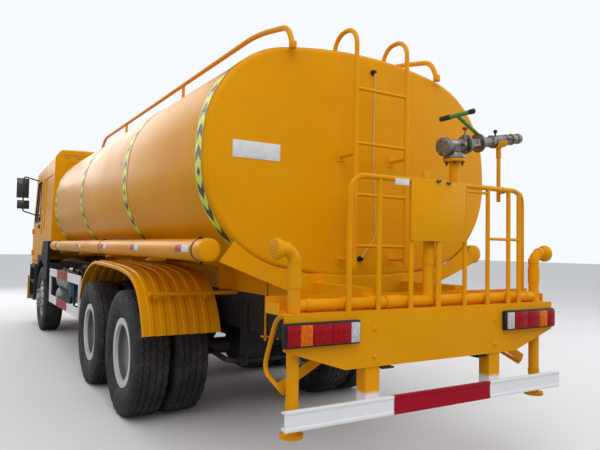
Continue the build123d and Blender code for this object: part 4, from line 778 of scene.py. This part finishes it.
def make_cannon():
    axis = (along_cannon(1) - along_cannon(0)).normalized()
    heads = [nut_ring(under_cannon(SWIVEL_LOW), -Z, 0.056, 6, 0.009, 0.01),
             nut_ring(under_cannon(SWIVEL_LOW), -Z, 0.056, 6, 0.005, 0.02, 10)]
    keep("swivel_heads", heads, "iron_dark")
    body = cut_off(taken("cannon_body"), along_cannon(-0.075), -axis)
    cut_off(body, (0, 0, SWIVEL_HIGH + 0.002), -Z)
    body = [body, bar("swivel", under_cannon(SWIVEL_HIGH - 0.0185), under_cannon(SWIVEL_HIGH), SWIVEL_R, 0.002, 48),
            bar("neck", under_cannon(SWIVEL_HIGH - 0.001), under_cannon(SWIVEL_HIGH + 0.02), 0.046, 0, 40, 0.036),
            ring_on_cannon("blind", BLIND_AT, BLIND_AT + 0.016, 0.0585, 0.002, 48),
            ring_on_cannon("blind_seat", BLIND_AT + 0.019, BLIND_AT + 0.034, 0.0585, 0.002, 48)]
    keep("cannon_tee", body, "cast_iron", "cannon_body", body="cannon_body")
    body_bolts = [nut_ring(under_cannon(SWIVEL_HIGH), Z, 0.056, 6, 0.009, 0.009),
                  nut_ring(along_cannon(BLIND_AT), -axis, 0.045, 6, 0.008, 0.008),
                  nut_ring(along_cannon(0.092), -axis, 0.051, 6, 0.007, 0.008)]
    keep("cannon_body_bolts", body_bolts, "zinc", body="cannon_body")
    gasket = ring_on_cannon("gasket", BLIND_AT + 0.0165, BLIND_AT + 0.0185, 0.057, 0, 40)
    keep("cannon_gasket", [gasket], "rubber", body="cannon_body")
    cock = [bar("cock", along_cannon(0.03, 0.03), along_cannon(0.03, 0.066), 0.013, 0.002),
            bar("stem", along_cannon(0.03, 0.06), (-0.22, PIPE_Y + 0.06, 2.222), 0.006)]
    keep("drain_cock", cock, "cast_iron", body="cannon_body")
    knob = turned(KNOB_PROFILE, (-0.22, PIPE_Y + 0.06, 2.236), Z, 24)
    keep("knob", [knob], "red_paint", body="cannon_body")

    pieces = [nut_ring(along_cannon(0.224), axis, 0.05, 6, 0.008, 0.01),
              ring_on_cannon("hex", 0.33, 0.362, 0.043, 0.002, 6),
              ring_on_cannon("clamp", 0.475, 0.493, 0.0385, 0.003, 32),
              ring_on_cannon("clamp", 0.535, 0.553, 0.0385, 0.003, 32),
              block("ear", along_cannon(0.553, 0.03, -0.01), along_cannon(0.475, 0.056, 0.01), 0.003),
              turned(BARREL_CAP_PROFILE, along_cannon(0.6), axis, 40)]
    keep("barrel_fittings", pieces, "cast_iron", body="cannon_barrel")
    cradle = turned(CRADLE_PROFILE, along_cannon(CRADLE_AT), axis, 40)
    cut_off(cradle, along_cannon(CRADLE_AT, 0, -0.006), along_cannon(0, 0, 1) - along_cannon(0))
    foot = along_cannon(CRADLE_AT, 0, -0.046)
    rest = [cradle, bar("socket", foot, (foot.x, PIPE_Y, foot.z - 0.07), 0.0165, 0.002),
            bar("post", foot, (foot.x, PIPE_Y, 1.80), 0.013, 0.002),
            bar("link", (foot.x, PIPE_Y, 1.86), (foot.x, board_rear - 0.02, 1.865), 0.011)]
    keep("barrel_rest", rest, "fitting_paint")
    foot, middle = Vector((-0.40, PIPE_Y, 2.234)), Vector((-0.21, PIPE_Y, 2.331))
    handle = [bar("stem", foot, middle, 0.0125, 0.001, 20),
              bar("crossbar", middle - Y * 0.133, middle + Y * 0.133, 0.0145, 0.001, 20)]
    keep("cannon_handle", handle, "green_paint", body="cannon_barrel")
    grips = [bar("grip", middle + Y * start, middle + Y * end, 0.0165, 0.004, 28)
             for start, end in ((0.108, 0.142), (-0.05, -0.142))]
    knob_foot = along_cannon(0.393, 0, 0.036)
    grips.append(bar("stem", knob_foot, knob_foot + Z * 0.02, 0.006))
    grips.append(turned(BALL_PROFILE, knob_foot + Z * 0.028, Z, 24))
    keep("cannon_grips", grips, "rubber", body="cannon_barrel")


# Level gauge on the rear head: two black fittings and a clear hose between them
def make_gauge():
    face = tank_rear + 0.0005
    top, low = Vector((-0.05, face, 2.745)), Vector((0.047, face, 1.401))
    fittings = []
    for place in (top, low):
        fittings += [bar("base", place, place + Y * 0.012, 0.022, 0.002, 6),
                     bar("nose", place, place + Y * 0.034, 0.013, 0.002)]
    keep("gauge_fittings", fittings, "plastic_dark")
    path = [top + Y * 0.026 - Z * 0.008, top + Y * 0.03 - Z * 0.06, (-0.044, face + 0.028, 2.1),
            (-0.078, face + 0.028, 1.56), low + Y * 0.026 + Z * 0.01]
    keep("gauge_hose", [tube("hose", path, 0.0055, 0.05, 16)], "clear_hose")


# Spray pipes: the low pipes as drawn, and the cannon's stand pipe, whose branch is hidden by the fence's panel
STAND_X, STAND_CUT_Z, BRANCH_Z = 0.022, 1.555, 1.70
FEED_X = 0.434


def make_stand_pipe():
    low_pipes = cut_off(taken("spray_pipes"), (0, 0, STAND_CUT_Z), Z)
    cut_off(low_pipes, (0, PIPE_Y - 0.064, 0), -Y)
    branch = [(STAND_X, PIPE_Y, BRANCH_Z), under_cannon(BRANCH_Z), under_cannon(SWIVEL_LOW + 0.002)]
    pipes = [low_pipes, bar("riser", (0.052, PIPE_Y, STAND_CUT_Z - 0.01), (0.052, PIPE_Y, 1.958), 0.0225, 0.002),
             tube("branch", branch, 0.031, 0.08, 32),
             bar("flange", under_cannon(SWIVEL_LOW), under_cannon(SWIVEL_LOW + 0.018), SWIVEL_R, 0.002, 48)]
    hole_at, way = Vector((FEED_X - 0.125, tank_rear, 1.169)), Vector((0.125, PIPE_Y - tank_rear, 0.014))
    pipes.append(bar("feed", hole_at - way * 0.03, hole_at + way, 0.0285, 0, 32))
    pipes.append(bar("tee", (FEED_X - 0.05, PIPE_Y, 1.167), (FEED_X + 0.05, PIPE_Y, 1.167), 0.0365, 0.002, 32))
    keep("water_pipes", pipes, "fitting_paint", "spray_pipes")
    # Painted shade: a thin dark disc round the feed pipe stands for the shadowed hole it passes through
    keep("feed_hole_shade", [bar("hole", hole_at + Y * 0.0002, hole_at + Y * 0.0012, 0.045, 0, 32)], "iron_dark")


# Hose tubes: straps, end caps, reflector strips
TUBE_X, TUBE_Z, TUBE_R = 1.16, 1.446, 0.071
STICKER_YS = (3.76, 2.63, 1.51, 0.23, -1.38)
STRAP_YS = (3.936, 1.30, -1.52)
CAP_PROFILE = ((0.0, 0.008), (0.052, 0.007), (0.066, 0.004), (0.0725, -0.002), (0.0735, -0.012),
               (0.0735, -0.05), (0.0705, -0.052))
STRAP_PROFILE = ((0.0708, -0.009), (0.0733, -0.008), (0.0733, 0.008), (0.0708, 0.009))


def make_hose_tubes():
    low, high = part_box("hose_tubes")
    caps, straps, reds, whites, nuts = [], [], [], [], []
    for sign in (1, -1):
        x = sign * TUBE_X
        for end_y, out in ((high.y, Y), (low.y, -Y)):
            caps.append(turned(CAP_PROFILE, (x, end_y, TUBE_Z), out, 64))
        for strap_y in STRAP_YS:
            place = Vector((x, strap_y, TUBE_Z))
            straps.append(turned(STRAP_PROFILE, place, Y, 64))
            buckle = place + X * sign * 0.01
            straps.append(block("buckle", buckle + Vector((-0.012, -0.012, 0.07)),
                                buckle + Vector((0.012, 0.012, 0.083)), 0.003))
            nuts.append(nut_ring(place - Z * 0.075, -Z, 0.001, 1, 0.009, 0.02))
        for middle in STICKER_YS:
            for group, y0, y1 in ((reds, middle - 0.127, middle), (whites, middle, middle + 0.127)):
                ring = drum(y0, y1, TUBE_R + 0.0008, 96, x, TUBE_Z)
                group.append(strip_of(ring, TUBE_Z - 0.016, TUBE_Z + 0.03, x, sign, 0.0008))
    keep("hose_tube_caps", caps, "tank_paint")
    keep("hose_tube_straps", straps + nuts, "plastic_dark")
    keep("reflectors_red", reds, "tape_red")
    keep("reflectors_white", whites, "sign_white")


# The fence, its panel, wing bolts and a small blank sign
def make_fence():
    fence_y = board_rear - 0.02
    fence = cut_off(taken("guard_fence"), (0, 0, 1.8935), Z)
    panel = block("panel", (-0.217, fence_y + 0.013, 1.523), (0.23, fence_y + 0.0205, 1.887), 0.0015)
    keep("fence_and_panel", [smooth(fence), panel], "fitting_paint", "guard_fence")
    wings = []
    for x, z in ((0.02, 1.883), (-0.065, 1.876)):
        foot = Vector((x, fence_y + 0.02, z))
        wings.append(bar("boss", foot, foot + Y * 0.014, 0.007, 0.001))
        for sign in (1, -1):
            ends = [foot + Vector((sign * x, y, z)) for x, y, z in ((0.005, 0.006, -0.003), (0.019, 0.011, 0.01))]
            wings.append(block("wing", *ends, 0.002))
    keep("wing_bolts", wings, "iron_dark")
    plate = block("sign", (0.246, fence_y + 0.0165, 1.842), (0.352, fence_y + 0.019, 1.879), 0.001)
    keep("small_sign", [plate], "sign_white")


# Spray heads: rows of small holes on their domed faces, drawn as dark plugs of painted shade
ROSE_PROFILE = ((0.0, 0.010), (0.03, 0.008), (0.052, 0.003), (0.057, -0.005), (0.057, -0.018), (0.045, -0.034))


def make_spray_heads():
    hole_shades, faces = [], []
    for sign in (1, -1):
        tip = Vector((sign * 1.094, PIPE_Y + 0.006, 1.461))
        faces.append(turned(ROSE_PROFILE, tip, X * sign, 48))
        for ring_r, count, out in ((0.012, 6, 0.0095), (0.026, 11, 0.0085), (0.04, 16, 0.006)):
            for index in range(count):
                turn = 2 * pi * index / count + ring_r * 40
                spot = tip + Vector((sign * out, cos(turn) * ring_r, sin(turn) * ring_r))
                # Painted shade: each hole is a short dark plug standing out of the face, not an opening
                hole_shades.append(bar("hole", spot - X * sign * 0.004, spot + X * sign * 0.0006, 0.0028, 0, 8))
    keep("spray_roses", faces, "fitting_paint")
    keep("spray_hole_shades", hole_shades, "iron_dark")


# Cab trim: seals, handles, mirror glass, bolts, wipers and lamp bezels
cab_low, cab_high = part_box("cab_shell")
DOOR_FRONT_Y, DOOR_REAR_Y = cab_low.y + 0.105, cab_low.y + 0.995
MIRROR_FACE_Y = cab_low.y + 0.376
WINDOW = ((0.11, 1.88), (0.8, 1.88), (0.8, 2.6), (0.305, 2.6), (0.11, 1.88))
SCREEN = ((-1.04, 1.85), (-1.04, 2.56), (-0.98, 2.62), (0.98, 2.62), (1.04, 2.56), (1.04, 1.85), (-1.04, 1.85))
# Sill, plate of the handle, handle: two corners and the roundness of each
DOOR_BLOCKS = (((1.146, DOOR_FRONT_Y + 0.11, 1.862), (1.162, DOOR_REAR_Y - 0.09, 1.876), 0.003),
               ((1.14, DOOR_REAR_Y - 0.26, 1.75), (1.168, DOOR_REAR_Y - 0.05, 1.81), 0.006),
               ((1.14, DOOR_REAR_Y - 0.24, 1.89), (1.172, DOOR_REAR_Y - 0.04, 1.953), 0.008))
BEZEL_PROFILE = ((0.0, 0.0), (0.012, 0.002), (0.012, 0.014), (0.0, 0.018), (0.0, 0.0))


def cab_side_x(z):
    """Half the cab's width at a height: the walls lean in above the waist."""
    return 1.16 - 0.03 * max(0.0, z - 1.64) / 1.15


def screen_y(z):
    return cab_low.y + 0.015 + 0.2 * (z - 1.79) / 0.93


def make_cab_trim():
    for side, sign in SIDES:
        path = [(sign * (cab_side_x(z) - 0.002), DOOR_FRONT_Y + y, z) for y, z in WINDOW]
        trim = [tube("seal", path, 0.011, 0.03, 12)]
        for (x0, y0, z0), (x1, y1, z1), edge in DOOR_BLOCKS:
            trim.append(block("trim", (sign * x0, y0, z0), (sign * x1, y1, z1), edge))
        keep(f"door_trim_{side}", trim, "plastic_dark", body=f"door_{side}")
        faces = [block("face", (sign * x0, MIRROR_FACE_Y - 0.001, z0), (sign * x1, MIRROR_FACE_Y + 0.003, z1), 0.0015)
                 for x0, x1, z0, z1 in ((1.306, 1.495, 2.335, 2.675), (1.294, 1.481, 2.129, 2.266))]
        keep(f"mirror_faces_{side}", faces, "mirror_face", body=f"door_{side}")
    trim = [tube("seal", [(x, screen_y(z) - 0.001, z) for x, z in SCREEN], 0.013, 0.05, 12)]
    for foot_x, tip_x in ((-0.62, -0.05), (0.28, 0.86)):
        foot, tip = Vector((foot_x, screen_y(1.82) - 0.03, 1.82)), Vector((tip_x, screen_y(2.2) - 0.032, 2.2))
        half, middle = (tip - foot).normalized() * 0.3, tip + Y * 0.012
        trim += [bar("arm", foot, tip, 0.008, 0.001, 12),
                 bar("boss", foot + Y * 0.03, foot - Y * 0.012, 0.022, 0.003),
                 bar("blade", middle - half, middle + half + Z * 0.05, 0.007, 0.001, 8)]
    keep("screen_trim", trim, "rubber", body="cab")
    bolts = [turned([(0.0, 0.012), (0.016, 0.010), (0.022, 0.0), (0.022, -0.004)],
                    (sign * x, cab_high.y - 0.012, 2.873), Y, 24) for sign in (1, -1) for x in (0.944, 0.776)]
    keep("cab_rear_bolts", bolts, "zinc", body="cab")
    bezels = []
    lamp_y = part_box("headlamps")[0].y - 0.001
    for sign in (1, -1):
        for x, radius in ((0.86, 0.078), (1.03, 0.062)):
            profile = [(radius + wider, out) for wider, out in BEZEL_PROFILE]
            bezels.append(turned(profile, (sign * x, lamp_y, 0.66), -Y, 40))
    keep("lamp_bezels", bezels, "zinc")


# Behind the left side guard: ends and bands of the air tanks, and hoses over them; and the frame's bolts
AIR_TANKS = ((-1.8505, 0.70), (-1.8505, 0.96), (-1.5505, 0.96), (-1.2505, 0.96))
TANK_END_PROFILE = ((0.0, 0.05), (0.05, 0.047), (0.09, 0.034), (0.115, 0.014), (0.1262, -0.01), (0.1262, -0.03))
BAND_PROFILE = ((0.1252, -0.02), (0.1285, -0.019), (0.1285, 0.019), (0.1252, 0.02))
# Each air hose: x, y at its start and end, height of its arc, radius
AIR_HOSES = ((1.06, -2.12, -1.25, 1.23, 0.012), (1.03, -2.0, -1.1, 1.25, 0.012), (1.0, -1.85, -0.9, 1.22, 0.014),
             (1.05, -1.62, -0.72, 1.24, 0.012), (0.98, -1.45, -0.6, 1.21, 0.012), (1.02, -1.25, -0.5, 1.23, 0.014))


def make_side_fittings():
    end_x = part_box("air_tanks")[1].x
    bands, ends, hoses = [], [], []
    for tank_y, tank_z in AIR_TANKS:
        end = Vector((end_x, tank_y, tank_z))
        ends.append(turned(TANK_END_PROFILE, end, X, 48))
        for x in (0.6, 0.95):
            bands.append(turned(BAND_PROFILE, (x, tank_y, tank_z), X, 48))
        ends.append(bar("boss", end + Vector((-0.06, 0, 0.115)), end + Vector((-0.06, 0, 0.15)), 0.018, 0.002, 6))
    keep("air_tank_ends", ends, "alloy")
    for x, start_y, end_y, rise, radius in AIR_HOSES:
        path = [(x, start_y, 0.95), (x, start_y, 1.12), (x - 0.02, start_y + 0.12, rise),
                (x - 0.1, end_y - 0.2, rise - 0.01), (x - 0.3, end_y, 1.13), (x - 0.5, end_y + 0.1, 1.1)]
        hoses.append(tube("hose", path, radius, 0.12, 12))
    keep("air_hoses", hoses, "rubber")
    keep("air_tank_bands", bands, "plastic_dark")
    path = [(0.9, -1.2, 1.12), (0.92, -1.05, 1.165), (0.92, -0.6, 1.165), (0.8, -0.35, 1.12)]
    keep("ribbed_hose", [tube("hose", path, 0.035, 0.1, 20)], "iron_dark")
    neck = Vector((1.05, -1.06, 0.9))
    bottle = [bar("bottle", neck - Z * 0.16, neck, 0.055, 0.012, 40), bar("cap", neck, neck + Z * 0.025, 0.03, 0.004)]
    keep("filter_bottle", bottle, "blue_plastic")
    heads = []
    for sign in (1, -1):
        for index in range(16):
            y = 3.2 + index * 0.09 + (0.05 if index % 3 == 0 else 0)
            for z in (0.88, 1.02):
                heads.append(bar("head", (sign * 0.425, y, z), (sign * 0.436, y, z), 0.012, 0, 6))
    keep("frame_bolts", heads, "iron_dark")


def make_floor():
    bpy.ops.mesh.primitive_plane_add(size=160)
    floor = settle("studio_floor")
    mix = Recipe("studio_floor")
    lit = mix.add("ShaderNodeLightPath")
    tone = mix.mix(lit.outputs["Is Camera Ray"], (0.42, 0.42, 0.42), (0.8, 0.8, 0.8))
    mix.close(tone, mix.ramp(mix.noise(3.0), 0.0, 1.0, 0.8, 0.9))
    wear(floor, "studio_floor")


def add_lights():
    world = bpy.data.worlds.new("studio")
    bpy.context.scene.world = world
    world.use_nodes = True
    tree = world.node_tree
    background = tree.nodes["Background"]
    path = grow(tree, "ShaderNodeLightPath").outputs
    rays = {0: path["Is Camera Ray"], 1: path["Is Transmission Ray"]}
    seen = grow(tree, "ShaderNodeMath", rays, operation="MAXIMUM").outputs[0]
    strength = grow(tree, "ShaderNodeMapRange", {"Value": seen, "To Min": 0.72, "To Max": 1.0})
    tree.links.new(strength.outputs["Result"], background.inputs["Strength"])
    background.inputs["Color"].default_value = (0.93, 0.96, 1.0, 1)
    for name, place, size, power in (("key", (4, 10, 11), 9, 520), ("fill", (-9, 6, 6), 8, 260),
                                     ("front", (2, -11, 7), 7, 420)):
        lamp = bpy.data.lights.new(name, "AREA")
        lamp.size = size
        lamp.energy = power
        holder = bpy.data.objects.new(name, lamp)
        link(holder)
        aim = (-Vector(place) + Z * 1.5).to_track_quat("-Z", "Y").to_matrix().to_4x4()
        holder.matrix_world = Matrix.Translation(place) @ aim


add_camera()
dress_nodes()
make_tank()
make_tank_surrounds()
make_mudguards()
make_guards()
make_tyres()
make_wheel_nuts()
make_tail_lamps()
make_platform()
make_cannon()
make_gauge()
make_hose_tubes()
make_fence()
make_stand_pipe()
make_spray_heads()
make_cab_trim()
make_side_fittings()
make_floor()
add_lights()
bpy.context.scene.view_settings.view_transform = "Standard"
